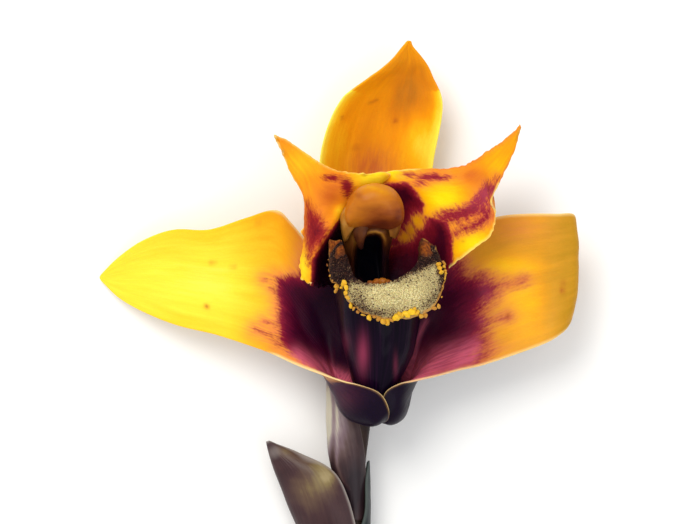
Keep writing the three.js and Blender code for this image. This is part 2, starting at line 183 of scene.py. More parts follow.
def draped_grid(surface, marks):
    """A flat grid laid on a surface. It carries marks, and a map of the surface in millimetres."""
    rows, columns = surface.shape[0] - 1, surface.shape[1] - 1
    length = np.linalg.norm(np.diff(surface[:, columns // 2], axis=0), axis=1).sum()
    width = np.linalg.norm(np.diff(surface, axis=1), axis=2).sum(axis=1).max()
    bm = bmesh.new()
    uv = bm.loops.layers.uv.new("UVMap")
    layers = {mark: bm.verts.layers.float.new(mark) for mark in marks}
    bmesh.ops.create_grid(bm, x_segments=rows, y_segments=columns, size=0.5)
    bm.verts.index_update()
    spots = [(round((v.co.x + 0.5) * rows), round((v.co.y + 0.5) * columns)) for v in bm.verts]
    for vert, spot in zip(bm.verts, spots):
        vert.co = (surface[spot] + FLOWER_PLACE) * MM
        for mark, layer in layers.items():
            vert[layer] = marks[mark][spot]
    for face in bm.faces:
        face.smooth = True
        for loop in face.loops:
            row, column = spots[loop.vert.index]
            loop[uv].uv = (length * row / rows, width * column / columns)
    return bm, spots


def finished(name, bm, materials):
    """The mesh as an object of the scene, with its materials."""
    mesh = bpy.data.meshes.new(name)
    bm.to_mesh(mesh)
    bm.free()
    for material in materials:
        mesh.materials.append(material)
    piece = bpy.data.objects.new(name, mesh)
    bpy.context.scene.collection.objects.link(piece)
    return piece


def thinning(surface):
    """Share of the full thickness lost at each point: all of it at the side margins and the tip."""
    along, across = shares_of(surface)
    return np.maximum(np.abs(2 * across - 1) ** 3, along**8)


def leaf(name, surface, thickness, facing, marks, materials):
    """A thin organ: a grid on its middle surface, thickened evenly but for its thin margins.

    The first material is on the side that looks the way of facing, the second on the other side.
    """
    bm, spots = draped_grid(surface, marks)
    bm.normal_update()
    if sum((f.normal * f.calc_area() for f in bm.faces), Vector()).dot(Vector(facing)) < 0:
        bmesh.ops.reverse_faces(bm, faces=bm.faces)
    piece = finished(name, bm, materials)
    weights = 1 - (1 - MARGIN_THICKNESS / thickness) * thinning(surface)
    group = piece.vertex_groups.new(name="thickness")
    for index, spot in enumerate(spots):
        group.add([index], weights[spot], "REPLACE")
    solid = piece.modifiers.new("Solidify", "SOLIDIFY")
    solid.thickness = thickness * MM
    solid.offset = 0
    solid.vertex_group = group.name
    solid.material_offset = 1
    smooth = piece.modifiers.new("Subdivision", "SUBSURF")
    smooth.levels = smooth.render_levels = 1
    return piece


def stand_for(piece, node):
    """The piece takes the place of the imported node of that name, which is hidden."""
    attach(piece, "root")
    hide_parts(node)


def colour(code):
    """An sRGB hex value as linear red, green, blue and alpha."""
    parts = [int(code[k : k + 2], 16) / 255 for k in (0, 2, 4)]
    return [c / 12.92 if c <= 0.04045 else ((c + 0.055) / 1.055) ** 2.4 for c in parts] + [1]


def fill(tree, node, inputs):
    """Fills a node's inputs with values, or with links from nodes or from their outputs."""
    for socket, value in inputs.items():
        if isinstance(value, bpy.types.Node):
            value = next(output for output in value.outputs if output.enabled)
        if isinstance(value, bpy.types.NodeSocket):
            tree.links.new(value, node.inputs[socket])
        else:
            node.inputs[socket].default_value = value


def add(tree, kind, inputs, stops=(), **settings):
    """Adds a node with its settings and links. Stops are the places and colours of a ramp."""
    node = tree.nodes.new(kind)
    for setting, value in settings.items():
        setattr(node, setting, value)
    if stops:
        for _ in stops[2:]:
            node.color_ramp.elements.new(1)
        for element, (place, code) in zip(node.color_ramp.elements, stops):
            element.position = place
            element.color = colour(code)
    fill(tree, node, inputs)
    return node


def new_skin(name, *marks):
    """A new material, its node tree, its shader, and the mesh's marks that it reads."""
    material = bpy.data.materials.new(name)
    material.use_nodes = True
    tree = material.node_tree
    read = [add(tree, "ShaderNodeAttribute", {}, attribute_name=mark).outputs["Fac"] for mark in marks]
    return material, tree, tree.nodes["Principled BSDF"], read


PAINTED_SHEEN_PINK = "D8647E"
SPOT_BROWN = "A3471B"


def tepal_skin(name, tones, sap, flush_and_painted_light, rim, streaks, wander, soft, rough, coat=0, side=""):
    """Waxy tepal skin: yellow pigment in the cells, and blotches of dark red sap.

    Light goes about a millimetre into it and comes out warm, and the cells break up the gloss.
    tones are the pigment's colours at even steps, sap the blotch's colours by its depth,
    flush_and_painted_light the colour of a flush beside a blotch, used on the dorsal sepal for
    painted shade at its base, and rim the colour along the thin margin. streaks says how fine a
    blotch's torn edge is along and across the organ, per millimetre, wander how far it strays, and
    soft how wide its edge fades. side ends the names of the marks "wine" and
    "pink_and_painted_sheen" that it reads; the second is a pink over the blotch, mostly painted
    sheen. The veins are drawn twice as wide as the real ones, to show.
    """
    material, tree, skin, (tone, flush_and_light_share, edge, spots, wine, pink_and_painted_sheen) = new_skin(
        name, "tone", "flush_and_painted_light", "edge", "spots", "wine" + side, "pink_and_painted_sheen" + side
    )
    place = add(tree, "ShaderNodeUVMap", {}, uv_map="UVMap")
    clouds, veins, feather = (
        add(tree, "ShaderNodeTexNoise", {"Vector": drawn, "Scale": 1, "Detail": 4})
        for drawn in (
            add(tree, "ShaderNodeMapping", {"Vector": place, "Scale": (*fineness, 1)})
            for fineness in ((0.1, 0.32), (0.07, 1), streaks)
        )
    )
    flecks = add(tree, "ShaderNodeTexNoise", {"Vector": place, "Scale": 1.7, "Detail": 5})
    cells = add(tree, "ShaderNodeTexVoronoi", {"Vector": place, "Scale": 3.4})

    for pattern, share in ((clouds, 0.42), (veins, 0.06), (flecks, 0.12)):
        tone = add(tree, "ShaderNodeMath", {0: pattern, 1: share, 2: tone}, operation="MULTIPLY_ADD")
    tone = add(tree, "ShaderNodeMath", {0: tone, 1: 0.3}, operation="SUBTRACT")
    even = [(step / (len(tones) - 1), code) for step, code in enumerate(tones)]
    hue = add(tree, "ShaderNodeValToRGB", {"Fac": tone}, even)
    mottling = add(
        tree,
        "ShaderNodeMapRange",
        {"Value": feather, "From Min": 0.36, "From Max": 0.6, "To Min": 0.6, "To Max": 1},
    )
    flush_and_light_share, pink_and_painted_sheen = (
        add(tree, "ShaderNodeMath", {0: mark, 1: mottling}, operation="MULTIPLY") for mark in (flush_and_light_share, pink_and_painted_sheen)
    )

    for pattern, share in ((feather, wander), (clouds, wander), (flecks, 1.6)):
        wine = add(tree, "ShaderNodeMath", {0: pattern, 1: share, 2: wine}, operation="MULTIPLY_ADD")
    depth = add(tree, "ShaderNodeMath", {0: wine, 1: wander + 0.8}, operation="SUBTRACT")
    stained = add(
        tree,
        "ShaderNodeMapRange",
        {"Value": depth, "From Min": -soft, "From Max": 0.8 * soft},
        interpolation_type="SMOOTHSTEP",
    )
    deep = add(tree, "ShaderNodeMapRange", {"Value": depth, "From Min": -0.6, "From Max": 7})
    dark = add(tree, "ShaderNodeValToRGB", {"Fac": deep}, sap)
    # Over the blotch, a pink that is mostly painted sheen
    dark = add(tree, "ShaderNodeMix", {0: pink_and_painted_sheen, 6: dark, 7: colour(PAINTED_SHEEN_PINK)}, data_type="RGBA")
    thin = add(
        tree,
        "ShaderNodeMapRange",
        {"Value": edge, "From Min": 0.1, "From Max": 1.3, "To Min": 0.8, "To Max": 0},
        interpolation_type="SMOOTHSTEP",
    )
    # On the dorsal sepal the flush is painted shade
    layers = ((flush_and_light_share, colour(flush_and_painted_light)), (stained, dark), (thin, colour(rim)), (spots, colour(SPOT_BROWN)))
    for share, over in layers:
        hue = add(tree, "ShaderNodeMix", {0: share, 6: hue, 7: over}, data_type="RGBA")

    gloss = add(
        tree,
        "ShaderNodeMapRange",
        {"Value": veins, "From Min": 0.3, "From Max": 0.7, "To Min": rough - 0.06, "To Max": rough + 0.08},
    )
    relief = add(tree, "ShaderNodeMath", {0: cells, 1: 0.2, 2: veins}, operation="MULTIPLY_ADD")
    finish = {
        "Base Color": hue,
        "Roughness": gloss,
        "Normal": add(tree, "ShaderNodeBump", {"Height": relief, "Strength": 0.35, "Distance": 0.25 * MM}),
        "Subsurface Weight": 0.2,
        "Subsurface Radius": (1.0, 0.55, 0.12),
        "Subsurface Scale": 1.2 * MM,
        "Specular IOR Level": 0.06,
        "Coat Weight": coat,
    }
    fill(tree, skin, finish)
    return material


# Where the skin is lighter or darker than its middle tone, and its brown spots and scratch. The
# darker patch at the tip is painted shade, and the lighter one right of the middle painted light
DORSAL_TONES = [
    (-0.5, (13, 35), (6.5, 10)), (-0.06, (8, 30), (7, 7)), (0.4, (15, 26), (5.5, 11)),
    (0.14, (-2, 23), (5, 8)), (-0.14, (4, 22), (6, 5)),
]
DORSAL_SPOTS = [(0.7, (9.7, 29.8), (0.8, 0.7)), (0.5, (-1.9, 30.5), (0.5, 0.6)), (0.5, (1, 24.2), (1.2, 0.6))]
DORSAL_SCRATCH = [(3.8, 33.6), (5.6, 34.4)]
dorsal = uneven(middle_surface(DORSAL_SECTIONS, *SEPAL_GRID), (0.28, 7, 1), (0.1, 2.5, 2))
seen = as_seen(dorsal)
y = seen[..., 1]
edge = margin_distance(dorsal)
dorsal_marks = {
    "tone": 0.5 + patches(seen, DORSAL_TONES) + 0.4 * fading(edge, 2) * (y < 36),
    "wine": np.full(edge.shape, -9.0),
    "pink_and_painted_sheen": np.zeros(edge.shape),
    # Redder towards the base, where the petals overhang it: partly painted shade
    "flush_and_painted_light": 0.95 * np.maximum(patch(seen, (4.4, 19.5), (7.4, 6.4)), 0.6 * rising(y, 17, 12.2)),
    "edge": edge + 0.5 + rising(y, 35, 38),
    "spots": patches(seen, DORSAL_SPOTS) + 0.45 * fading(distance_to(seen, DORSAL_SCRATCH), 0.3),
}
BROWN_SAP = [(0, "9A3A1C"), (1, "5A1A14")]
dorsal_face = tepal_skin(
    "waxy_orange_sepal_face", ("B9741F", "D98518", "EF9C10", "FBC01A", "FFE84A"), BROWN_SAP,
    flush_and_painted_light="C0642E", rim="FFE860", streaks=(0.4, 1.4), wander=2, soft=0.9, rough=0.42,
)
dorsal_back = tepal_skin(
    "waxy_orange_sepal_back", ("B77A2A", "CF8A22", "E0A022", "EDBB34", "F6DE62"), BROWN_SAP,
    flush_and_painted_light="C06A34", rim="F5E27E", streaks=(0.4, 1.4), wander=2, soft=0.9, rough=0.48,
)
dorsal_sepal = leaf(
    "dorsal_sepal_skin", dorsal, SEPAL_THICKNESS, (0, 0, 1), dorsal_marks, (dorsal_face, dorsal_back)
)
stand_for(dorsal_sepal, "dorsal_sepal")

# Lateral sepals
# The two side sepals: thick waxy leaves that run down the column's foot and turn up in front as
# the two halves of the chin, the left half over the right. Lemon yellow with a torn wine blotch.
LEFT_SECTIONS = [
    [(1.9, -9, 11.5), (1.9, -16, 12.5), (2.1, -24, 15.5), (2.8, -30.5, 17.2), (5, -33, 18.6)],
    [(0.8, -8, 11), (-0.2, -16, 11), (-0.4, -24, 12.8), (0.8, -30.6, 15.6), (4, -33.3, 18.4),
     (7.6, -33, 21.6)],
    [(-1, -5, 10.6), (-2, -14, 9.6), (-2.2, -23, 11), (-1.2, -30, 14.5), (1.4, -33, 19),
     (5, -33.5, 23.6), (8.1, -30.6, 25.6)],
    [(-4, -1, 10.8), (-4.4, -12, 8.6), (-4, -21, 9.8), (-3, -27.5, 14), (-1, -31.6, 19.4),
     (3, -30.6, 24.2), (6.3, -27.2, 26.2)],
    [(-8, 3, 12), (-8, -8, 8.6), (-6.6, -17, 9.8), (-4.8, -23, 13), (-3.2, -27.2, 18),
     (-0.6, -26.4, 22.4), (2, -25.4, 25)],
    [(-12.4, 8.4, 14), (-12.2, -4, 9.6), (-10.4, -13, 9.4), (-7.8, -19.5, 12.4), (-5.2, -23.6, 17.6),
     (-3, -24.3, 22.6)],
    [(-15.6, 10.9, 15.6), (-16, 0, 10.4), (-14.6, -9, 9.6), (-12.4, -16, 12.4), (-10.2, -21.8, 18.4)],
    [(-22, 9.2, 15), (-22, 0, 10.6), (-21, -8, 9.4), (-19.6, -13.5, 11.4), (-18, -18.6, 15.8)],
    [(-29.5, 6.8, 12.6), (-29.5, 0, 9.6), (-29, -7, 8.8), (-27.6, -15.4, 12.6)],
    [(-37, 6.9, 9.4), (-37, 0.5, 7), (-36.8, -5.5, 6.6), (-36, -13.5, 9.6)],
    [(-43.8, 4.6, 5.8), (-44, -1, 4.2), (-43.4, -10.7, 6.2)],
    [(-49.2, 1, 2.6), (-49.8, -2.8, 1.9), (-49, -7.6, 2.8)],
    [(-53.1, -2.8, 0.7), (-53.3, -3.3, 0.6), (-53.1, -3.8, 0.7)],
]
RIGHT_SECTIONS = [
    [(7.9, -9, 11.5), (8, -16, 12.5), (8, -24, 15.5), (7.6, -30, 17), (6.8, -31.4, 18.2)],
    [(9.2, -8, 11), (10.4, -16, 11), (10.6, -24, 12.8), (9.8, -30.4, 15.4), (8.4, -33.2, 17.6),
     (6, -33.2, 19.6)],
    [(11.2, -5, 10.6), (12.2, -14, 9.6), (12.4, -23, 11), (11.8, -29.6, 14.2), (10.6, -32.8, 17.8),
     (8.4, -33.3, 20.8), (6.4, -30.8, 22.6)],
    [(14.2, -1, 10.8), (14.8, -12, 8.6), (14, -21, 9.8), (12.5, -27.2, 13.6), (11.8, -30.8, 18),
     (10.2, -30.6, 21.8), (7.2, -27, 23.8)],
    [(18.2, 3, 12), (18.2, -8, 8.6), (16.6, -16.5, 9.8), (14.3, -22.6, 12.8), (12.6, -27.4, 17.4),
     (11.6, -27.2, 21.4), (10.1, -25.3, 24)],
    [(22.2, 6, 13), (22.2, -4, 9.6), (20.4, -12.5, 9.8), (17.8, -18.8, 12.6), (15.4, -22.6, 17.2),
     (13.6, -24.7, 22.4)],
    [(27, 8.4, 14), (27, -2, 10.8), (26, -11, 10.4), (24, -17.5, 13), (21, -23, 19.4)],
    [(32, 9.7, 15.4), (32, 0, 12.2), (31.6, -9, 11.8), (30.4, -15, 13.4), (29, -21.1, 17.8)],
    [(37.6, 10.1, 17), (37.8, 1, 14.4), (37.8, -8, 13.8), (37.2, -18.4, 17)],
    [(43, 10.1, 18.2), (43.2, 1, 16.6), (43.2, -7.5, 16.2), (42.4, -16.2, 17.4)],
    [(46.7, 10, 16.6), (47, 1.5, 16), (46.9, -6, 15.6), (45.9, -13.2, 15)],
    [(46.6, 7.4, 11.2), (46.9, 0, 10.6), (46.4, -9.6, 10.6)],
    [(44.8, 3.4, 5.6), (45, -1, 5.2), (44.8, -5.4, 5.4)],
    [(42.9, -0.6, 0.8), (42.8, -1, 0.7), (42.9, -1.4, 0.8)],
]
# Where each wine blotch shows on the front of the sepals, the streaks torn from its edge, and the
# lines along which its lower part gets a painted rose sheen and, on the right one, a paler painted
# highlight
LEFT_BLOTCH = [
    (-10.8, -2.4), (-15.4, -3.2), (-15.4, -6.6), (-15, -9.6), (-15.4, -11), (-14.9, -13.2),
    (-14.9, -16.4), (-13, -19.4), (-9.8, -21.9), (-6.6, -23.7), (-2.4, -25.5), (0, -26.6), (6, -28.4),
    (12, -28), (12, 8), (-8, 8),
]
LEFT_STREAKS = [
    [(-20, -14.4), (-15.5, -16.7), (-11.6, -18)], [(-17.9, -12.9), (-14.6, -13.6)],
    [(-17.8, -3.6), (-15, -3.4)], [(-16.6, -5.4), (-15, -6)], [(-17.2, -15.4), (-13.4, -16)],
    [(-16.2, -14), (-13, -14.6)], [(-15.6, -17.6), (-12.4, -18.4)],
]
LEFT_ROSE = [(-11.4, -19.8), (-7.6, -22.2), (-2.8, -24.2), (0, -25.2)]
RIGHT_BLOTCH = [
    (21.8, 0.6), (23.6, 0.6), (24.8, -2.2), (27.2, -2.9), (29.9, -3.6), (31.4, -5.2), (30.6, -7.2),
    (28.8, -9.2), (27.6, -10.8), (29.4, -11.6), (28.8, -13.8), (28.6, -16), (28.4, -19.2),
    (27, -22.6), (20, -26), (4, -34), (4, 8), (18, 8),
]
RIGHT_STREAKS = [[(30.6, -4.6), (33.6, -4.5), (36.9, -3.9)], [(28.6, -12.6), (31.1, -12.1), (33.3, -11.6)]]
RIGHT_ROSE = [(14, -24), (19, -21.4), (27.4, -18.8)]
RIGHT_SHEEN = [(13, -21), (13.8, -17.2), (14.8, -14.6), (16, -12.6)]
# Patches of a lighter skin, of a flush and of a painted rose sheen, and the brown spots: strength,
# centre, reach
LEFT_SPOTS = [
    (0.8, (-30, -9.5), (0.8, 0.8)), (0.5, (-28.8, 0), (0.8, 0.8)), (0.4, (-24.4, -0.9), (0.8, 0.8)),
    (0.3, (-19.3, 8.4), (0.8, 0.8)),
]
RIGHT_TONES = [(0.42, (33.7, -0.8), (9, 3)), (0.42, (37, -7), (6, 6)), (0.2, (36, -14), (9, 4))]
RIGHT_FLUSH = [(0.5, (35, 7), (9, 4)), (0.5, (31, -18), (6, 2.4))]
RIGHT_PAINTED_SHEEN = [(0.22, (28.8, -6.4), (2.6, 3.6)), (0.2, (28, -12.6), (2, 2))]
RIGHT_SPOTS = [
    (0.9, (33.4, -11.5), (0.7, 0.9)), (0.7, (44.6, -6), (0.7, 0.9)), (0.4, (44.8, -4.4), (0.7, 0.9)),
]
# Share of a sepal's length that is dark all over on its face and on its back, how fast the dark
# ends past it, as the blotch's depth lost over the whole length, and how much deeper the right's is.
# On the face the near black towards the base is partly painted shade deep in the throat, and the
# right's extra depth behind is painted shade on the right half of the chin
FACE_DARK = 0.3
FACE_FADE = 60
BACK_DARK = 0.4
BACK_FADE = 45
RIGHT_BACK_DEPTH = 9


def blotch(seen, outline, streaks, width):
    """Depth of the wine colour in millimetres: the blotch itself and the streaks beside it."""
    depth = depth_inside(seen, outline)
    for line in streaks:
        depth = np.maximum(depth, width - distance_to(seen, line))
    return depth


left = uneven(middle_surface(LEFT_SECTIONS, *SEPAL_GRID), (0.3, 8, 3), (0.1, 2.5, 4))
seen = as_seen(left)
x, y = seen[..., 0], seen[..., 1]
along, _ = shares_of(left)
edge = margin_distance(left)
wine = blotch(seen, LEFT_BLOTCH, LEFT_STREAKS, -0.1)
left_marks = {
    "tone": 0.1 + 0.58 * rising(x, -9, -26) + 0.2 * patch(seen, (-29, -4.5), (12, 5.5))
    - 0.2 * fading(edge, 3) * rising(x, -45, -36),
    "wine": np.maximum(wine, (FACE_DARK - along) * FACE_FADE),
    "wine_behind": (BACK_DARK - along) * BACK_FADE,
    "flush_and_painted_light": 0.95 * fading(np.minimum(wine, 0), 2.2) + 0.2 * patch(seen, (-18, -14), (6, 4)),
    # Painted rose sheen on the lower part, and behind, on the chin, a painted reflection
    "pink_and_painted_sheen": 0.9 * fading(distance_to(seen, LEFT_ROSE), 1.7),
    "pink_and_painted_sheen_behind": 0.06 * patch(seen, (-1, -28.4), (4, 4)),
    "edge": edge + 0.2 + 1.3 * rising(x, -15, -19) - 0.8 * patch(seen, (-4, -23), (7, 3))
    + 0.4 * rising(y, -24.6, -26.6),
    "spots": patches(seen, LEFT_SPOTS),
}
right = uneven(middle_surface(RIGHT_SECTIONS, *SEPAL_GRID), (0.3, 8, 5), (0.1, 2.5, 6))
seen = as_seen(right)
x, y = seen[..., 0], seen[..., 1]
along, _ = shares_of(right)
edge = margin_distance(right)
wine = blotch(seen, RIGHT_BLOTCH, RIGHT_STREAKS, -0.2)
right_marks = {
    "tone": 0.36 + patches(seen, RIGHT_TONES) - 0.3 * rising(x, 40, 45),
    "wine": np.maximum((0.52 - 0.22 * rising(y, -14, -19)) * wine, (FACE_DARK - along) * FACE_FADE),
    "wine_behind": (BACK_DARK - along) * BACK_FADE + RIGHT_BACK_DEPTH,
    "flush_and_painted_light": 0.9 * fading(np.minimum(wine, 0), 2.2) + patches(seen, RIGHT_FLUSH),
    # Painted rose sheen on the lower part, and a paler painted highlight along RIGHT_SHEEN
    "pink_and_painted_sheen": fading(distance_to(seen, RIGHT_ROSE), 3) * rising(wine, 0, 2)
    + patches(seen, RIGHT_PAINTED_SHEEN) + 0.24 * fading(distance_to(seen, RIGHT_SHEEN), 0.7),
    "pink_and_painted_sheen_behind": np.zeros(edge.shape),
    "edge": edge + 0.4 + 0.3 * rising(y, -24.6, -26.6),
    "spots": patches(seen, RIGHT_SPOTS),
}
WINE = [(0, "B5463A"), (0.12, "901C34"), (0.28, "620A2A"), (0.5, "3E0420"), (1, "1E0218")]
BACK_WINE = [(0, "5A1C34"), (0.15, "3A1630"), (0.5, "200C22"), (1, "12061A")]
left_face = tepal_skin(
    "waxy_lemon_sepal_face", ("EE9A20", "FDB01A", "FCCA2A", "FDDF3C", "FFE858"), WINE,
    flush_and_painted_light="E88A48", rim="FADC9A", streaks=(0.4, 1.2), wander=1.5, soft=1, rough=0.42,
)
right_face = tepal_skin(
    "waxy_golden_sepal_face", ("B8861C", "D09428", "E8A226", "F6B81C", "FDC826"), WINE,
    flush_and_painted_light="D9804A", rim="FADC9A", streaks=(0.36, 1), wander=1.5, soft=1.3, rough=0.42,
)
lateral_back = tepal_skin(
    "glossy_dark_sepal_back", ("C08A28", "D39A2A", "E0AE34", "EBC648", "F3DC68"), BACK_WINE,
    flush_and_painted_light="B8703C", rim="9C7440", streaks=(0.3, 1.6), wander=3, soft=0.9, rough=0.36,
    coat=0.05, side="_behind",
)
left_sepal = leaf(
    "left_sepal_skin", left, SEPAL_THICKNESS, (0, 0, 1), left_marks, (left_face, lateral_back)
)
stand_for(left_sepal, "lateral_sepal_left")
right_sepal = leaf(
    "right_sepal_skin", right, SEPAL_THICKNESS, (0, 0, 1), right_marks, (right_face, lateral_back)
)
stand_for(right_sepal, "lateral_sepal_right")

# Petals
# The two smaller inner tepals: thin frilled leaves that rise beside the column as dark walls,
# then turn outwards over a fold and end in long points. Wine streaks follow their side veins.
PETAL_THICKNESS = 0.9
PETAL_GRID = (140, 84)
PETAL_LEFT_SECTIONS = [
    [(3, 3, 13), (3, -1.5, 13), (3, -6, 13.5)],
    [(2.6, 8, 14), (-1.4, 4.4, 15.4), (-3.4, 0, 16.4), (-4, -5.5, 17)],
    [(5, 14.6, 16.6), (-1.2, 9.4, 18.6), (-4.4, 3.6, 20.4), (-6, -1.8, 20.8), (-6.4, -5.9, 20.4)],
    [(8.4, 18.5, 19.4), (0, 13, 21), (-3.6, 7.8, 24.8), (-6.8, 2.4, 25.2), (-8.2, -5.2, 23)],
    [(2.6, 18.5, 21.2), (-3.2, 13.6, 24), (-5.8, 8.2, 25.4), (-8.2, 2.8, 24.2), (-10.3, -3.2, 22.2)],
    [(-4, 19.6, 23.4), (-6.4, 14.5, 25.4), (-8, 9, 24.6), (-9.9, 2.8, 22.2)],
    [(-8.8, 22.4, 25.8), (-9.4, 16.6, 26.4), (-9.4, 12.4, 24.4)],
    [(-12.4, 24.8, 28.2), (-12.5, 21.4, 28), (-12.2, 18.2, 26.8)],
    [(-14.6, 25.8, 30), (-14.5, 24.6, 29.9), (-14.2, 23, 29.4)],
    [(-15.5, 26.2, 30.8), (-15.5, 25.9, 30.8), (-15.3, 25.6, 30.7)],
]
PETAL_RIGHT_SECTIONS = [
    [(6.2, 3, 13), (6.2, -1.5, 13), (6.2, -7.5, 13.5)],
    [(7, 8, 14), (11.2, 4.4, 15), (13, 0, 15.6), (13.6, -5, 16)],
    [(5.6, 14, 14.4), (12, 10, 17.6), (16, 4.4, 18.6), (18, -3.4, 18.4)],
    [(4, 18, 16), (13, 15, 20.4), (18.2, 9, 21.6), (21, 3.6, 21.8), (21.4, -0.8, 21.2)],
    [(12.4, 19.4, 19.6), (18.8, 14.6, 22.4), (22.6, 8.6, 23.2), (25.2, 2.2, 22.6)],
    [(20.8, 19.6, 22.4), (24, 15, 24), (27, 10, 24.2), (29.4, 5.6, 23.2)],
    [(25.6, 21.2, 24.8), (27.8, 16.4, 25.6), (30.2, 9.6, 24)],
    [(27.6, 22.5, 26), (29, 17.8, 26.8), (29.2, 12.3, 25.6)],
    [(29.8, 23.7, 27.2), (30.7, 20.3, 27.8), (30.7, 15.8, 26.6)],
    [(33.2, 26.4, 29.8), (33.7, 24.5, 30), (33.6, 22.2, 29.2)],
    [(34.7, 28.2, 31.4), (35, 27.8, 31.4), (35.1, 27.2, 31.3)],
]
# Where the dark walls, the bands and the small blotches show
LEFT_WALL = [
    (1.9, 14.4), (-1.1, 10.8), (-2.5, 9.4), (-4.5, 6.7), (-6.5, 3.4), (-7.9, 0.7), (-8.2, -3),
    (-8.4, -5.2), (-8, -10), (8, -10), (8, 14),
]
LEFT_PATCH = [
    (-9, 13), (-8.2, 11.6), (-6.7, 9.7), (-5, 7.6), (-4.2, 6.3), (-5.9, 4), (-7.5, 1.7), (-8.3, -0.8),
    (-8.8, 1.5), (-9, 4), (-9.2, 6.7), (-9.1, 10.5),
]
LEFT_BLOTS = [((-0.8, 15.8), (1.2, 1.8)), ((-3.8, 17.7), (1.7, 0.7))]
RIGHT_WALL = [
    (7.7, 16.6), (12.3, 16.7), (14.3, 14.6), (15.8, 12.2), (15.4, 9.8), (17.6, 9.5), (20.4, 8.8),
    (21.7, 5.6), (21.9, 3.6), (21.7, 0), (20, -8), (4, -8), (4, 14),
]
RIGHT_BLOTS = [((12.6, 18.3), (1.3, 0.5)), ((17.6, 17.8), (2.5, 0.7)), ((15, 16.6), (1, 0.4))]
RIGHT_GAPS = [((14.6, 8.7), (1.5, 1.8)), ((13, 6.8), (1.1, 1.5)), ((11.8, 5.5), (1.7, 1.1))]
UPPER_BAND = [(29.4, 15.4), (28.2, 14), (27.5, 12.6), (25.8, 11), (23.4, 9.9), (19.4, 9.2)]
LOWER_BAND = [(28.9, 9.9), (27.5, 8.4), (25.2, 7.4), (23.4, 6.7), (21.4, 5.5)]
BAND_TIP = [(31, 17.8), (29.4, 15.4)]
BAND_BLOT = ((28.2, 10.9), (2.2, 3))
# The wine on the right petal's wall is thin along this line
CLEAR_LINE = [(8.2, 2.8), (10, 3.6), (11, 4.3)]
# Patches of a lighter or darker skin, of a flush and of pink: strength, centre, reach. On the left
# petal the faint lighter patch at the end of the upper lobe is painted light against its shade
LEFT_PETAL_TONES = [
    (0.3, (-10, 21), (6, 5)), (0.6, (4, 18), (6, 3)), (0.1, (7.4, 17), (3, 2)),
    (0.5, (-2.6, 10.6), (1.8, 2.6)), (0.5, (-9.6, -1), (2.2, 7)), (-0.44, (-4.2, 13.8), (3.2, 4)),
]
LEFT_PETAL_FLUSH = [(1.2, (-7.2, 6.6), (2.4, 6)), (0.4, (-2.4, 16.4), (3, 2))]
RIGHT_PETAL_TONES = [
    (0.6, (19.6, 13), (5.2, 4.4)), (0.12, (22.6, 15), (3.6, 2.4)), (-0.4, (26, 18), (5, 3)),
    (0.14, (31.5, 20), (3.5, 5)), (-0.1, (26, 9.6), (4, 1.8)), (0.5, (25.8, 4), (5.6, 4)),
    (0.8, (10.6, 18.5), (4.6, 1.5)), (0.1, (14, 8.6), (2.4, 2.4)),
]
RIGHT_PETAL_PINK = [(0.16, (26.6, 12.4), (5, 2.6)), (0.3, (28.6, 14.8), (2.4, 2.4))]
# Where the wine is deep the skin has no pale margin: this much is added to the distance from it
NO_MARGIN = 9


def oval(seen, centre, reach):
    """How deep each point lies inside an upright oval, in millimetres, and negative outside."""
    return (1 - np.linalg.norm((seen - centre) / np.array(reach), axis=-1)) * min(reach)


def frill(surface, reach, length, swing, seed):
    """Waves along the margins: the outermost stretch swings to and fro and in and out.

    reach is how far in they start, length that of a wave, and swing its height, all in
    millimetres. swing is one size or a grid of them.
    """
    to_side, to_end = ways_out(surface)
    near_side, near_end = np.exp(-to_side / reach), np.exp(-to_end / reach)
    sideways = unit(np.gradient(surface, axis=1)) * np.sign(shares_of(surface)[1] - 0.5)[..., None]
    onwards = unit(np.gradient(surface, axis=0))
    outward = unit(sideways * near_side[..., None] + onwards * near_end[..., None])
    near = np.clip(1 - np.minimum(to_side, to_end) / reach, 0, 1) ** 2
    wave = cloud(surface, length, seed)
    teeth = np.abs(cloud(surface, length / 2, seed + 1))
    waves = normals_of(surface) * wave[..., None] - outward * teeth[..., None]
    return surface + waves * (swing * near)[..., None]


petal = middle_surface(PETAL_LEFT_SECTIONS, *PETAL_GRID)
crimp = 1.7 * rising(petal[..., 1], 10, 5) + 0.9 * patch(petal[..., :2], (2, 19), (7, 5))
petal = frill(petal, reach=2, length=1.1, swing=0.3 + crimp, seed=7)
petal = uneven(petal, (0.25, 5, 8), (0.1, 1.8, 9))
seen = as_seen(petal)
edge = margin_distance(petal)
wine = np.maximum.reduce(
    [
        4 * depth_inside(seen, LEFT_WALL),
        0.6 * depth_inside(seen, LEFT_PATCH),
        *(oval(seen, *blot) for blot in LEFT_BLOTS),
    ]
)
petal_left_marks = {
    "tone": 0.46 + patches(seen, LEFT_PETAL_TONES),
    "wine": wine,
    "flush_and_painted_light": np.clip(patches(seen, LEFT_PETAL_FLUSH), 0, 1),
    "pink_and_painted_sheen": np.zeros(edge.shape),
    "edge": edge + 0.5 + NO_MARGIN * (wine > 2),
    "spots": 0.4 * patch(seen, (3.4, 18.6), (0.6, 0.4)),
}
LEFT_WINE = [(0, "B03A22"), (0.12, "94201F"), (0.28, "66101E"), (0.5, "32051A"), (1, "1A0312")]
petal_left_face = tepal_skin(
    "frilled_orange_petal_face", ("C8641E", "DE7E20", "F0931A", "F8B41A", "F6D422"), LEFT_WINE,
    flush_and_painted_light="B8412E", rim="FFD878", streaks=(0.7, 1.1), wander=1.1, soft=0.8, rough=0.4,
)
PALE_WINE = [(0, "94382E"), (0.3, "6A1C28"), (1, "401020")]
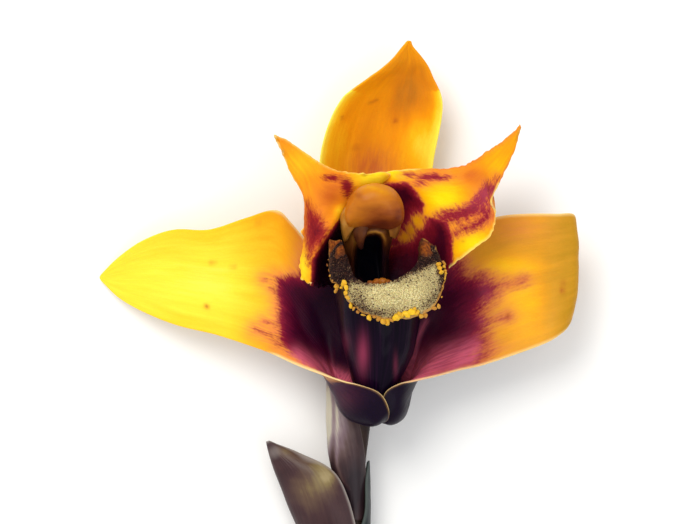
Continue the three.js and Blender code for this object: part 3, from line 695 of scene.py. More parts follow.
petal_back = tepal_skin(
    "frilled_petal_back", ("C87426", "DA8C28", "E6A02A", "F0B834", "F4CE4C"), PALE_WINE,
    flush_and_painted_light="C0603C", rim="F6DE9A", streaks=(0.5, 1.5), wander=2.4, soft=0.9, rough=0.46,
)
left_petal = leaf(
    "left_petal_skin", petal, PETAL_THICKNESS, (1, 0, 1), petal_left_marks, (petal_left_face, petal_back)
)
stand_for(left_petal, "petal_left")

petal = middle_surface(PETAL_RIGHT_SECTIONS, *PETAL_GRID)
petal = frill(petal, reach=3, length=3, swing=0.7, seed=10)
petal = uneven(petal, (0.25, 5, 11), (0.1, 1.8, 12))
seen = as_seen(petal)
x, y = seen[..., 0], seen[..., 1]
edge = margin_distance(petal)
wine = np.maximum.reduce(
    [
        2 * depth_inside(seen, RIGHT_WALL),
        0.8 - 0.6 * distance_to(seen, UPPER_BAND),
        0.4 - 0.6 * distance_to(seen, LOWER_BAND),
        -0.6 * distance_to(seen, BAND_TIP),
        0.5 * oval(seen, *BAND_BLOT) - 0.5,
        *(oval(seen, *blot) for blot in RIGHT_BLOTS),
    ]
)
wine = np.minimum.reduce(
    [
        wine,
        0.2 + 1.2 * distance_to(seen, CLEAR_LINE),
        *(-oval(seen, *gap) for gap in RIGHT_GAPS),
    ]
)
upper_margin = fading(edge, 0.7) * (y > 17) * rising(x, 14, 18)
petal_right_marks = {
    "tone": 0.46 + patches(seen, RIGHT_PETAL_TONES),
    "wine": wine,
    "flush_and_painted_light": 0.7 * fading(np.minimum(wine, 0), 0.7) * rising(y, 3.6, 5.6)
    + 0.6 * patch(seen, (28.4, 10), (2.2, 2.6)) + 0.6 * upper_margin,
    "pink_and_painted_sheen": patches(seen, RIGHT_PETAL_PINK),
    "edge": edge + 0.4 + NO_MARGIN * (wine > 1.5) + 2 * upper_margin,
    "spots": 0.4 * patch(seen, (23.8, 4.4), (0.6, 0.4)),
}
RIGHT_WINE = [(0, "B4402A"), (0.12, "982430"), (0.26, "70101F"), (0.5, "420518"), (1, "1E0312")]
petal_right_face = tepal_skin(
    "feathered_yellow_petal_face", ("D06A24", "E2861C", "EE9E10", "F8BC06", "FDD408"), RIGHT_WINE,
    flush_and_painted_light="D9703A", rim="FBE27E", streaks=(1.2, 0.32), wander=1.6, soft=0.7, rough=0.4,
)
right_petal = leaf(
    "right_petal_skin", petal, PETAL_THICKNESS, (-1, 0, 1), petal_right_marks, (petal_right_face, petal_back)
)
stand_for(right_petal, "petal_right")

# Lip
# The third petal, hinged on the column's foot: a fleshy trough, dark and glossy outside. Its front
# rim rolls outwards under a felt of cream pimples, and its torn margin ends in yellow knobs.
LIP_THICKNESS = 1.1
LIP_GRID = (66, 100)
LIP_SECTIONS = [
    [(3.8, -29.6, 20.6), (5.4, -30, 21.4), (7, -29.6, 20.6)],
    [(0.6, -24.6, 18.4), (2.4, -25.6, 22), (5.6, -26, 23.4), (8.8, -25.6, 22), (10.4, -24.6, 18.4)],
    [(-1.2, -15, 17), (-1.2, -17, 21.6), (1.4, -18, 25.6), (6, -18.4, 27), (10.6, -18, 25.6),
     (13.2, -17, 21.6), (13.2, -15, 17)],
    [(-2.4, -5, 18), (-2.6, -7.4, 23), (-0.4, -9.2, 27.6), (5.8, -10.4, 30), (12, -9.2, 27.6),
     (14.4, -7.4, 23), (14.2, -5, 18)],
    [(-2.4, 3.8, 22.4), (-1.6, -1, 27), (0.4, -5.2, 31), (6, -6.6, 32.8), (11.8, -4.8, 31.6),
     (14.8, -1, 27.8), (14.4, 2.6, 23)],
    [(-1.9, 4.5, 25.6), (-0.9, 0, 30), (1, -4.2, 33.6), (6.2, -5.1, 34.8), (11.4, -3.4, 33.9),
     (14.9, 0.2, 30.6), (15, 4.9, 27.4)],
    [(-3.3, 4.2, 26), (-3.2, -1, 31), (-1.6, -4, 33.4), (0.4, -6.8, 34.8), (6.8, -8.8, 36),
     (13.8, -7, 35.4), (17.8, -2.2, 32.8), (16.5, 4, 28.6)],
    [(-4.5, 4.9, 25.6), (-4.4, -0.4, 29.8), (-3.9, -4.2, 31.8), (-1.2, -5.2, 33), (0.4, -8.9, 34),
     (7, -11.9, 35.4), (16, -10.4, 35), (19.7, -3.4, 32.8), (17.7, 3.3, 29.2)],
]
# Share of the lip's length below its felted rim. The number of the felt's pimples, the places tried
# for each, their radius, how long and how slanting they stand, and the margin that they leave bare
FELT_START = 0.66
PIMPLES = 5200
TRIES_PER_PIMPLE = 5
PIMPLE_RADIUS = 0.13
PIMPLE_STRETCH = 1.25
PIMPLE_LEAN = 0.35
BARE_MARGIN = 0.7
# Seed of the felt's scatter and of the knobs' lumps, and the size of these lumps
SEED = 21
LUMP_SIZE = 0.7
# Knobs of the margin: where each shows, and its radius. They sit on the grid's rows past KNOB_ROW
KNOB_ROW = 50
KNOBS = [
    (-4.5, 0.6, 0.15), (-4.7, -0.6, 0.18), (-4.6, -1.8, 0.16), (-4.2, -2.9, 0.2), (-3.7, -4, 0.24),
    (-2.9, -5.1, 0.45), (-3, -6, 0.4), (-1.7, -5.3, 0.42), (-1.2, -4.4, 0.58), (-0.8, -5.4, 0.5),
    (-0.9, -6.5, 0.46), (-0.4, -7.4, 0.42), (0.2, -9.1, 0.48), (0.8, -9.9, 0.34), (1.6, -10.4, 0.26),
    (2.8, -11.2, 0.3), (4, -11.7, 0.5), (5, -11.5, 0.28), (6, -11.9, 0.4), (6.9, -12.4, 0.5),
    (7.8, -12.7, 0.55), (8.7, -12.2, 0.38), (9.8, -11.6, 0.75), (10.9, -11.2, 0.45), (11.8, -10.9, 0.66),
    (12.9, -10.5, 0.7), (14, -10.7, 0.56), (15, -11.3, 0.45), (15.9, -11.2, 0.36), (17.8, -9.8, 0.36),
    (18.6, -9.3, 0.42), (19.2, -7.4, 0.18), (19.3, -5.2, 0.22), (19.9, -3.4, 0.3), (20, -2.4, 0.3),
    (19.8, -1, 0.32), (18.6, -0.5, 0.5), (18.8, -1.3, 0.48), (19.2, -2.1, 0.42), (19.5, 0, 0.28),
    (19.9, -1.8, 0.28), (19.8, -0.4, 0.26), (20, -3, 0.24), (13.4, -10.1, 0.5), (10.4, -11, 0.5),
]
# Warts of the callus: where each shows, its radius and its tone
CALLUS = [
    (3.1, -4.9, 0.6, 0.15), (4.1, -4.7, 0.8, 0.3), (5.3, -4.4, 0.9, 0.5), (6.6, -4.3, 1, 0.6),
    (7.7, -4.5, 0.85, 0.5), (8.6, -4.8, 0.6, 0.3),
]
CALLUS_HEIGHT = 32.2


def lip_outside():
    """Fleshy skin of the lip's outside: almost black, with wine red highlights painted down it.

    It is smooth and waxy, with a broad soft gloss and fine veins along its length.
    """
    material, tree, skin, (flush_and_painted_light,) = new_skin("glossy_dark_lip_outside", "flush_and_painted_light")
    place = add(tree, "ShaderNodeUVMap", {}, uv_map="UVMap")
    lengthwise = add(tree, "ShaderNodeMapping", {"Vector": place, "Scale": (0.05, 0.9, 1)})
    veins = add(tree, "ShaderNodeTexNoise", {"Vector": lengthwise, "Scale": 1, "Detail": 5})
    tones = [(0.35, "070210"), (0.55, "110418"), (0.72, "240A24")]
    dark = add(tree, "ShaderNodeValToRGB", {"Fac": veins}, tones)
    finish = {
        # Wine red painted highlights over the dark
        "Base Color": add(tree, "ShaderNodeMix", {0: flush_and_painted_light, 6: dark, 7: colour("8E3450")}, data_type="RGBA"),
        "Normal": add(tree, "ShaderNodeBump", {"Height": veins, "Strength": 0.3, "Distance": 0.2 * MM}),
        "Roughness": 0.38,
        "Specular IOR Level": 0.04,
        "Coat Weight": 0.06,
        "Coat Roughness": 0.15,
    }
    fill(tree, skin, finish)
    return material


def lip_felt():
    """Ground of the felted rim: dry skin, speckled where the pimples stand, yellow at the edge.

    A speckle is a fifth of a millimetre, the width of a pimple, and nothing on it shines.
    """
    material, tree, skin, (pale, warm, edge) = new_skin("speckled_felt_of_the_rim", "pale", "warm", "edge")
    place = add(tree, "ShaderNodeUVMap", {}, uv_map="UVMap")
    specks = add(tree, "ShaderNodeTexVoronoi", {"Vector": place, "Scale": 4.5})
    clouds = add(tree, "ShaderNodeTexNoise", {"Vector": place, "Scale": 0.9, "Detail": 4})
    shade, wandering = (
        add(tree, "ShaderNodeMath", {0: pattern, 1: share, 2: mark}, operation="MULTIPLY_ADD")
        for pattern, share, mark in ((specks.outputs["Color"], 0.5, pale), (clouds, -1.6, edge))
    )
    ground, brown = (
        add(tree, "ShaderNodeValToRGB", {"Fac": pattern}, tones)
        for pattern, tones in (
            (shade, [(0.2, "160608"), (0.45, "301816"), (0.7, "7A6848"), (1, "B0A070")]),
            (clouds, [(0.35, "5A280E"), (0.5, "7E3E10"), (0.65, "9A5212")]),
        )
    )
    rim = add(
        tree,
        "ShaderNodeMapRange",
        {"Value": wandering, "From Min": -0.5, "From Max": 0, "To Min": 0.7, "To Max": 0},
    )
    hue = ground
    for share, over in ((warm, brown), (rim, colour("C48A3A"))):
        hue = add(tree, "ShaderNodeMix", {0: share, 6: hue, 7: over}, data_type="RGBA")
    finish = {
        "Base Color": hue,
        "Normal": add(tree, "ShaderNodeBump", {"Height": specks, "Strength": 0.6, "Distance": 0.15 * MM}),
        "Roughness": 0.75,
        "Specular IOR Level": 0.15,
        "Subsurface Weight": 0.15,
        "Subsurface Radius": (1.0, 0.6, 0.2),
        "Subsurface Scale": 0.6 * MM,
    }
    fill(tree, skin, finish)
    return material


def fleshy_skin(name, tones, speckle, stretch, rough, coat, depth):
    """Smooth fleshy tissue of the lip's knobs, the column and the stalk, drier than a sepal's wax.

    The mark "tone" picks its colour. Speckles of that strength, as long as stretch says, vary it,
    and light goes as far into it as depth says, both in millimetres.
    """
    material, tree, skin, (tone,) = new_skin(name, "tone")
    place = add(tree, "ShaderNodeTexCoord", {}).outputs["Object"]
    per_metre = tuple(1 / (length * MM) for length in stretch)
    drawn = add(tree, "ShaderNodeMapping", {"Vector": place, "Scale": per_metre})
    clouds = add(tree, "ShaderNodeTexNoise", {"Vector": drawn, "Scale": 1, "Detail": 5})
    varied, gloss = (
        add(tree, "ShaderNodeMath", {0: clouds, 1: share, 2: middle}, operation="MULTIPLY_ADD")
        for share, middle in ((speckle, tone), (0.3, rough - 0.15))
    )
    centred = add(tree, "ShaderNodeMath", {0: varied, 1: speckle / 2}, operation="SUBTRACT")
    finish = {
        "Base Color": add(tree, "ShaderNodeValToRGB", {"Fac": centred}, tones),
        "Roughness": gloss,
        "Normal": add(tree, "ShaderNodeBump", {"Height": clouds, "Strength": 0.4, "Distance": 0.15 * MM}),
        "Subsurface Weight": 0.25,
        "Subsurface Radius": (1.0, 0.55, 0.2),
        "Subsurface Scale": depth * MM,
        "Specular IOR Level": 0.08,
        "Coat Weight": coat,
        "Coat Roughness": 0.25,
    }
    fill(tree, skin, finish)
    return material


def belongs_to(piece):
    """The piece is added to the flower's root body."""
    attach(piece, "root")


def beads(name, places, radii, stretches, tones, fineness, lumps, material):
    """Small knobs on the lip, each drawn out its own way, given a tone, and made a little lumpy."""
    bm = bmesh.new()
    layer = bm.verts.layers.float.new("tone")
    bmesh.ops.create_icosphere(bm, subdivisions=fineness, radius=MM)
    for face in bm.faces:
        face.smooth = True
    bead = bpy.data.meshes.new(name)
    bm.to_mesh(bead)
    for _ in places[1:]:
        bm.from_mesh(bead)
    corners = len(bead.vertices)
    shapes = []
    for place, radius, stretch in zip(places, radii, stretches):
        upright = Vector(stretch).to_track_quat("Z", "Y").to_matrix().to_4x4()
        lengthen = Matrix.Scale(Vector(stretch).length, 4, (0, 0, 1))
        where = Matrix.Translation(Vector(place + FLOWER_PLACE) * MM)
        shapes.append(where @ upright @ lengthen @ Matrix.Scale(radius, 4))
    noise.seed_set(SEED)
    for index, vert in enumerate(bm.verts):
        vert.co = shapes[index // corners] @ vert.co
        vert.co += noise.noise_vector(vert.co / (LUMP_SIZE * MM)) * lumps * MM
        vert[layer] = tones[index // corners]
    bpy.data.meshes.remove(bead)
    belongs_to(finished(name, bm, [material]))


# Where the rim rolls over and the felt is dense and pale. Patches of paler or darker felt, of warm
# brown skin and of painted highlights outside: strength, centre, reach. The painted shade of a
# crease, and the left ear's edge
FELTED = [
    (0.2, -4.4), (4, -5.2), (7.4, -5), (9.4, -4.4), (13, -2.8), (15.8, -1.6), (18, -0.4), (18.8, -4),
    (18.6, -8), (20, -14), (6, -16), (-2, -12),
]
FELT_TONES = [
    (0.36, (9.6, -6.8), (10, 4)), (-0.24, (1.8, -7.8), (2.6, 3.6)), (-0.3, (5, -10.6), (9, 1.4)),
    (-0.26, (17.6, -7.4), (1.8, 3)), (-0.36, (9.4, -4.2), (4, 0.9)), (-0.2, (2.8, -9.4), (2.4, 1.8)),
    (-0.18, (16, -8.6), (2.4, 1.8)),
]
# A dark line painted as the shade of a crease
FELT_CREASE_SHADE = [(7, -6.4), (8.6, -7.4), (10.4, -8)]
WARM_FELT = [
    (1.4, (-3, 3.4), (2.8, 3.4)), (1.4, (16.2, 2.8), (2, 2.2)), (0.6, (18.7, -1.6), (0.7, 2)),
    (-1.6, (17.4, 2.8), (0.8, 0.8)), (-1.4, (18.2, 1.4), (0.7, 1)),
]
EAR_RIM = [(-1.9, 3.9), (-3.1, 2.7), (-3.8, 1)]
OUTSIDE_PAINTED_HIGHLIGHTS = [
    (0.75, (2.9, -19.2), (1.5, 5.6)), (0.36, (9.3, -21.6), (0.6, 3.4)), (0.2, (-0.4, -16.6), (1.4, 3)),
]
lip = frill(middle_surface(LIP_SECTIONS, *LIP_GRID), reach=2, length=1.6, swing=0.7, seed=13)
lip = uneven(lip, (0.2, 4, 15), (0.08, 1.2, 16))
seen = as_seen(lip)
edge = margin_distance(lip)
dense = rising(depth_inside(seen, FELTED), -0.5, 0.5)
rolled = 0.62 + patches(seen, FELT_TONES) - 0.3 * fading(distance_to(seen, FELT_CREASE_SHADE), 0.3)
felt_pale = np.clip(0.1 + dense * rolled, 0.04, 0.96)
felt_warm = np.clip(patches(seen, WARM_FELT) - 1.6 * fading(distance_to(seen, EAR_RIM), 0.4), 0, 1)
lip_marks = {
    # Painted highlights on the outside of the trough
    "flush_and_painted_light": patches(seen, OUTSIDE_PAINTED_HIGHLIGHTS),
    "pale": felt_pale,
    "warm": felt_warm,
    "edge": edge + 0.6 * rising(seen[..., 1], -5, -3),
}
lip_skin = leaf("lip_skin", lip, LIP_THICKNESS, (0, 1, 0.5), lip_marks, (lip_felt(), lip_outside()))
stand_for(lip_skin, "lip")


def read_at(values, row, column):
    """A grid's value between its points."""
    row0 = np.minimum(row.astype(int), values.shape[0] - 2)
    column0 = np.minimum(column.astype(int), values.shape[1] - 2)
    down, right = row - row0, column - column0
    if values.ndim == 3:
        down, right = down[:, None], right[:, None]
    upper = values[row0, column0] * (1 - right) + values[row0, column0 + 1] * right
    lower = values[row0 + 1, column0] * (1 - right) + values[row0 + 1, column0 + 1] * right
    return upper * (1 - down) + lower * down


scatter = np.random.default_rng(SEED)
tries = scatter.random((PIMPLES * TRIES_PER_PIMPLE, 3))
row = (FELT_START + (1 - FELT_START) * tries[:, 0]) * LIP_GRID[0]
column = tries[:, 1] * LIP_GRID[1]
cell = np.linalg.norm(np.cross(np.gradient(lip, axis=0), np.gradient(lip, axis=1)), axis=2)
area = read_at(cell, row, column)
bare = (read_at(edge, row, column) < BARE_MARGIN) | (read_at(felt_warm, row, column) > 0.3)
kept = np.flatnonzero((tries[:, 2] * area.max() < area) & ~bare)[:PIMPLES]
row, column = row[kept], column[kept]
inward = -normals_of(lip)
half = LIP_THICKNESS / 2 * (1 - (1 - MARGIN_THICKNESS / LIP_THICKNESS) * thinning(lip))
outermost = lip + inward * half[..., None]
lean = scatter.normal(0, PIMPLE_LEAN, (len(kept), 3))
# The paler the felt, the more of its pimples are pale, and the others are dark
pale = read_at(felt_pale, row, column)
light = scatter.random(len(kept)) < 0.1 + 0.94 * pale
shade = np.where(light, 0.12 + 0.66 * pale, 0.42 * pale**2) + scatter.normal(0, 0.07, len(kept))
pimple_skin = fleshy_skin(
    "cream_pimple",
    [(0, "140506"), (0.2, "4A2C24"), (0.42, "8A7454"), (0.62, "C6B480"), (0.85, "EADCA4")],
    speckle=0.06, stretch=(0.5, 0.5, 0.5), rough=0.5, coat=0.1, depth=0.2,
)
beads(
    "lip_pimples",
    read_at(outermost, row, column),
    PIMPLE_RADIUS * (0.75 + 0.5 * scatter.random(len(kept))),
    (read_at(inward, row, column) + lean) * PIMPLE_STRETCH,
    np.clip(shade, 0, 0.9),
    fineness=1, lumps=0, material=pimple_skin,
)

# Each knob sits on the nearest point of the rim and leans its own way, which its place decides
rim_points = outermost[KNOB_ROW:].reshape(-1, 3)
rim_seen = as_seen(rim_points)
knob_places = []
for x, y, radius in KNOBS:
    nearest = np.argmin(np.linalg.norm(rim_seen - (x, y), axis=1))
    sideways = (np.array((x, y)) - rim_seen[nearest]) * 0.96
    knob_places.append(rim_points[nearest] + (*sideways, 0.1 + 0.3 * radius))
knob_skin = fleshy_skin(
    "yellow_knob",
    [(0, "7A4426"), (0.25, "B07A34"), (0.5, "D2A02A"), (1, "EEC226")],
    speckle=0.5, stretch=(0.9, 0.9, 0.9), rough=0.42, coat=0.1, depth=0.5,
)
beads(
    "lip_margin_knobs",
    np.array(knob_places),
    [radius for _, _, radius in KNOBS],
    [(1.3 * math.cos(9 * x), 1.3 * math.sin(9 * x), 0.2) for x, *_ in KNOBS],
    [0.02 + 1.1 * min(radius, 0.8) + 0.12 * math.sin(7 * x) for x, _, radius in KNOBS],
    fineness=3, lumps=0.3, material=knob_skin,
)

callus_skin = fleshy_skin(
    "orange_callus",
    [(0, "54260E"), (0.5, "8E4E12"), (1, "BC781C")],
    speckle=0.6, stretch=(0.7, 0.7, 0.7), rough=0.4, coat=0.2, depth=0.5,
)
beads(
    "lip_callus",
    np.array([(x, y, CALLUS_HEIGHT) for x, y, *_ in CALLUS]),
    [radius for _, _, radius, _ in CALLUS],
    [(0.5, 0.6, 1)] * len(CALLUS),
    [tone for *_, tone in CALLUS],
    fineness=3, lumps=0.28, material=callus_skin,
)

# Column
# The fused stamen and style, with the foot that carries the lip: half round behind, its front
# hollowed by the sticky stigma, dark purple and painted almost black with the shade in the hollow.
# Two flaps and a tooth hang beside the hollow.
COLUMN_STEPS = 120
COLUMN_SIDES = 84
STIGMA_HALF_WIDTH = 3.1
STIGMA_STEP = 1.3
SEAM_GAP = 1e-6
# From the foot to the end: centre, width, depth, and how deep the front is hollowed
COLUMN_PATH = [
    ((5.2, -30.4, 18.4), 2.4, 1.4, 0),
    ((5.1, -24, 15.8), 3.4, 2, 0),
    ((5, -16, 12.8), 4, 2.6, 0.2),
    ((4.6, -9, 12.6), 4.6, 3.6, 0.4),
    ((4, -3, 15.4), 8, 4.8, 2.4),
    ((3.6, 2.4, 18.6), 9.4, 5.8, 3.4),
    ((4.1, 7.4, 22), 11, 6.4, 0.6),
    ((4.9, 10.4, 24), 10.4, 5, 0),
]
# Outline of the hollow as it shows
STIGMA = [
    (0.7, -7), (0.8, 0), (1, 2.4), (1.6, 4.2), (2.8, 5.3), (4, 5.8), (5.3, 6), (6.4, 5.6), (7, 4.6),
    (7.1, 2.5), (6.8, -7),
]
FLAP_THICKNESS = 0.8
FLAP_GRID = (24, 24)
# Cross sections of the flaps and the tooth, from their roots to their tips
LEFT_FLAP = [
    [(-1, 11.4, 22.6), (0, 11.2, 24.6), (2.4, 10.6, 25.6)],
    [(-1.9, 9.4, 22), (-1.3, 9.3, 24.6), (1.2, 8.8, 26.4)],
    [(-1.8, 7.4, 21.6), (-1.2, 7.3, 24.2), (0.8, 7, 26)],
    [(-1.5, 5.6, 21.6), (-0.9, 5.5, 23.6), (0.1, 6, 25)],
    [(-1.2, 4.2, 21.8), (-1, 4.2, 22.6), (-0.6, 4.6, 23.6)],
]
TOOTH = [
    [(0.4, 9, 25.2), (2.2, 8.8, 26), (4, 8.6, 26)],
    [(0.6, 6.4, 25), (2.1, 6.2, 25.8), (3.6, 6.2, 25.8)],
    [(1.1, 4.6, 24.6), (2.2, 4.4, 25.2), (3, 4.6, 25.2)],
    [(2, 2.9, 24), (2.3, 2.6, 24.2), (2.6, 2.9, 24.2)],
]
RIGHT_FLAP = [
    [(10, 11, 22.6), (9.2, 10.8, 24.6), (7.4, 10.4, 25.6)],
    [(10.5, 9.2, 22), (10, 9, 24.4), (7.8, 8.6, 26.2)],
    [(10.2, 7, 22), (9.7, 6.9, 24), (8, 6.8, 25.6)],
    [(9.6, 5.2, 22.6), (9.1, 4.9, 23.6), (8.4, 5.2, 24.8)],
]


def round_stem(path, steps, sides, outline):
    """The skin of a stem: rings at even shares of a path, each closed, its size blended between."""
    spine = curve_through([centre for centre, *_ in path], np.linspace(0, 1, steps + 1))
    onwards = np.gradient(spine, axis=0)
    sideways = np.array((1.0, 0, 0))
    frontwards = np.cross(sideways, onwards)
    frontwards /= np.linalg.norm(frontwards, axis=1, keepdims=True)
    share = np.linspace(0, len(path) - 1, steps + 1)
    sizes = [np.interp(share, range(len(path)), size) for size in zip(*(rest for _, *rest in path))]
    angle = np.linspace(0, 2 * np.pi, sides + 1)
    across, depth = outline(angle[None, :], *(size[:, None] for size in sizes))
    return (
        spine[:, None, :] + across[..., None] * sideways + depth[..., None] * frontwards[:, None, :]
    )


def closed_stem(name, surface, marks, material):
    """A stem's solid: its skin, sewn up along the seam and closed at both ends."""
    bm, _ = draped_grid(surface, marks)
    bmesh.ops.remove_doubles(bm, verts=bm.verts, dist=SEAM_GAP)
    bmesh.ops.holes_fill(bm, edges=[e for e in bm.edges if e.is_boundary], sides=0)
    bmesh.ops.recalc_face_normals(bm, faces=bm.faces)
    return finished(name, bm, [material])


def column_outline(angle, width, depth, hollow):
    across = width / 2 * np.cos(angle)
    dip = np.clip(1 - (across / STIGMA_HALF_WIDTH) ** 4, 0, None) * (np.sin(angle) > 0)
    return across, depth / 2 * np.sin(angle) - hollow * dip


column = round_stem(COLUMN_PATH, COLUMN_STEPS, COLUMN_SIDES, column_outline)
seen = as_seen(column)
x, y = seen[..., 0], seen[..., 1]
front = np.sin(np.linspace(0, 2 * np.pi, COLUMN_SIDES + 1))[None, :] > 0
stigma_depth = depth_inside(seen, STIGMA)
in_stigma = rising(stigma_depth, 0, 0.7) * front
arch = fading(stigma_depth + 0.4, 0.35) * front * rising(y, 3, 5)
column[..., 2] += 0.3 * arch - STIGMA_STEP * in_stigma
column_tone = 0.1 + 0.3 * rising(y, 0.5, 5.5) + 0.18 * (x < 2) * rising(y, -6, -2) + 0.36 * arch
column_skin = fleshy_skin(
    "waxy_column",
    [(0, "03040F"), (0.14, "220C12"), (0.3, "46200F"), (0.5, "744018"), (0.75, "A8722A"), (1, "CDA05A")],
    speckle=0.16, stretch=(1, 3, 2), rough=0.36, coat=0.06, depth=0.8,
)
# Inside the stigma the tone is nil, the ramp's near black: its dark purple with painted shade
column_marks = {"tone": column_tone * (1 - in_stigma)}
stand_for(closed_stem("column_skin", column, column_marks, column_skin), "column")

for name, sections, tone in (
    ("column_flap_left", LEFT_FLAP, 0.8),
    ("column_tooth", TOOTH, 0.38),
    ("column_flap_right", RIGHT_FLAP, 0.7),
):
    flap = uneven(middle_surface(sections, *FLAP_GRID), (0.12, 2, 22))
    along, _ = shares_of(flap)
    flap_marks = {"tone": tone - 0.16 * along + 0.14 * cloud(flap, 1.6, 23)}
    piece = leaf(name, flap, FLAP_THICKNESS, (0, -1, 1), flap_marks, (column_skin, column_skin))
    belongs_to(piece)

# Anther cap
# The lid over the pollen: a smooth fleshy dome seated on the column's end, yellow where it leans
# on the petals and red-brown under its brim, darkest there with a painted shadow.
CAP_RADIUS = 5.5
CAP_HEIGHT = 5.2
CAP_PLACE = (5.1, 12.45, 25)
CAP_TILT = math.radians(46)
# Half the outline, from the middle of the underside to the crown, as shares of radius and height
CAP_PROFILE = [
    (0, 0), (0.5, 0.05), (0.9, 0), (0.99, 0.12), (1.02, 0.36), (0.96, 0.62), (0.76, 0.85), (0.42, 0.97),
    (0, 1),
]
CAP_STEPS = 48
CAP_SIDES = 72
# The dome's faces are put in order along this slanting line, as a spin's own order isn't fixed
ORDER_LINE = Vector((1, 2.3, 17.1))
# Yellow on the crown, orange on the left cheek, and browner to the right and over the brim, where
# the darkest patch is a painted shadow
CAP_TONES = [
    (0.32, (3.8, 15.8), (3.4, 1.8)), (0.22, (6.8, 14.8), (2.6, 2)), (-0.16, (1.9, 14.2), (1.2, 1)),
    (-0.16, (10.8, 11), (2.4, 5)), (-0.2, (6.2, 10), (4.6, 2.6)), (-0.38, (6.4, 7.4), (5, 2.4)),
    (-0.16, (10, 8.4), (3, 3.4)), (-0.26, (3.4, 6.8), (2.2, 1.4)),
]


def cap_dome():
    """The dome, spun from its profile, with two faint cheeks that hang lower than its middle."""
    shares = np.linspace(0, 1, CAP_STEPS + 1)
    profile = curve_through([(radius, 0, height) for radius, height in CAP_PROFILE], shares)
    profile[[0, -1], 0] = 0
    bm = bmesh.new()
    layer = bm.verts.layers.float.new("tone")
    line = [bm.verts.new((CAP_RADIUS * r * MM, 0, CAP_HEIGHT * h * MM)) for r, _, h in profile]
    edges = [bm.edges.new(pair) for pair in zip(line[:-1], line[1:])]
    bmesh.ops.spin(
        bm,
        geom=line + edges,
        cent=(0, 0, 0),
        axis=(0, 0, 1),
        angle=2 * math.pi,
        steps=CAP_SIDES,
        use_merge=True,
    )
    bmesh.ops.remove_doubles(bm, verts=bm.verts, dist=SEAM_GAP)
    bmesh.ops.recalc_face_normals(bm, faces=bm.faces)
    bm.faces.sort(key=lambda face: face.calc_center_median().dot(ORDER_LINE))
    # A little wider than high, notched in front between the cheeks, and faintly lumpy
    for vert in bm.verts:
        turn = math.atan2(vert.co.y, vert.co.x)
        spread = math.hypot(vert.co.x, vert.co.y) / (CAP_RADIUS * MM)
        cheeks = 0.05 * math.cos(2 * turn) - 0.1 * math.exp(-(((turn + math.pi / 2) / 0.4) ** 2))
        vert.co.x *= 1 + cheeks * spread
        vert.co.y *= 1 + cheeks * spread
        vert.co += vert.co.normalized() * 0.3 * MM * noise.noise(vert.co / (3 * MM))
    stand = Matrix.Translation(Vector(CAP_PLACE + FLOWER_PLACE) * MM) @ Matrix.Rotation(CAP_TILT, 4, "X")
    bmesh.ops.transform(bm, matrix=stand, verts=bm.verts)
    # As seen from above it leans to the right, and its lower sides are drawn down
    spots = np.array([vert.co for vert in bm.verts]) / MM - FLOWER_PLACE
    up = (spots[:, 1] - CAP_PLACE[1]) / CAP_RADIUS
    aside = (spots[:, 0] - CAP_PLACE[0]) / CAP_RADIUS
    spots[:, 0] = CAP_PLACE[0] + (spots[:, 0] - CAP_PLACE[0]) * (1.02 - 0.04 * up) + 0.25 * up
    spots[:, 1] += 0.3 - 2 * aside**2 * np.clip(0.5 - up, 0, 1)
    for vert, spot, tone in zip(bm.verts, spots, 0.57 + patches(as_seen(spots), CAP_TONES)):
        vert.co = (spot + FLOWER_PLACE) * MM
        vert[layer] = tone
    for face in bm.faces:
        face.smooth = True
    return bm


cap_skin = fleshy_skin(
    "waxy_anther_cap",
    [(0, "3A120A"), (0.2, "6A2A12"), (0.4, "9C501A"), (0.6, "BC6E16"), (0.8, "CA7E0E"), (1, "DC9E08")],
    speckle=0.24, stretch=(2.4, 1.2, 2), rough=0.4, coat=0.1, depth=0.9,
)
stand_for(finished("anther_cap_skin", cap_dome(), [cap_skin]), "anther_cap")

# Ovary and flower stalk
# The ovary with its short stem, behind the chin, and the round stalk that carries the flower: firm
# green-brown tissue, faintly ribbed, cut square at the foot, where the paler pith shows.
STEM_STEPS = 90
STEM_SIDES = 36
# From the lower end: centre, width and depth
OVARY_PATH = [
    ((1.2, -51.6, 6.8), 3.2, 3.2),
    ((1.2, -44, 7.6), 4, 4),
    ((1.7, -34, 8), 5.6, 5.4),
    ((2.6, -24, 7.2), 6.4, 5.2),
    ((3.8, -15, 7.4), 5.6, 4.6),
    ((4.6, -8.6, 8.2), 4, 3),
]
SCAPE_PATH = [
    ((3, -86, 3), 4, 4),
    ((2.6, -76, 3.5), 3.8, 3.8),
    ((1.8, -64, 5), 3.4, 3.4),
    ((1.2, -52, 6.7), 3.2, 3.2),
]


def ribbed_outline(angle, width, depth):
    ribs = 1 - 0.025 * (1 + np.cos(6 * angle))
    return width / 2 * np.cos(angle) * ribs, depth / 2 * np.sin(angle) * ribs


ovary = round_stem(OVARY_PATH, STEM_STEPS, STEM_SIDES, ribbed_outline)
seen = as_seen(ovary)
ovary_marks = {"tone": 0.3 + 0.5 * patch(seen, (1.8, -40), (1.2, 12)) + 0.15 * cloud(ovary, 4, 17)}
ovary_skin = fleshy_skin(
    "green_brown_ovary",
    [(0, "161012"), (0.3, "2C1E1C"), (0.6, "44322A"), (1, "605038")],
    speckle=0.3, stretch=(0.5, 5, 1), rough=0.42, coat=0.15, depth=0.5,
)
stand_for(closed_stem("ovary_skin", ovary, ovary_marks, ovary_skin), "ovary")

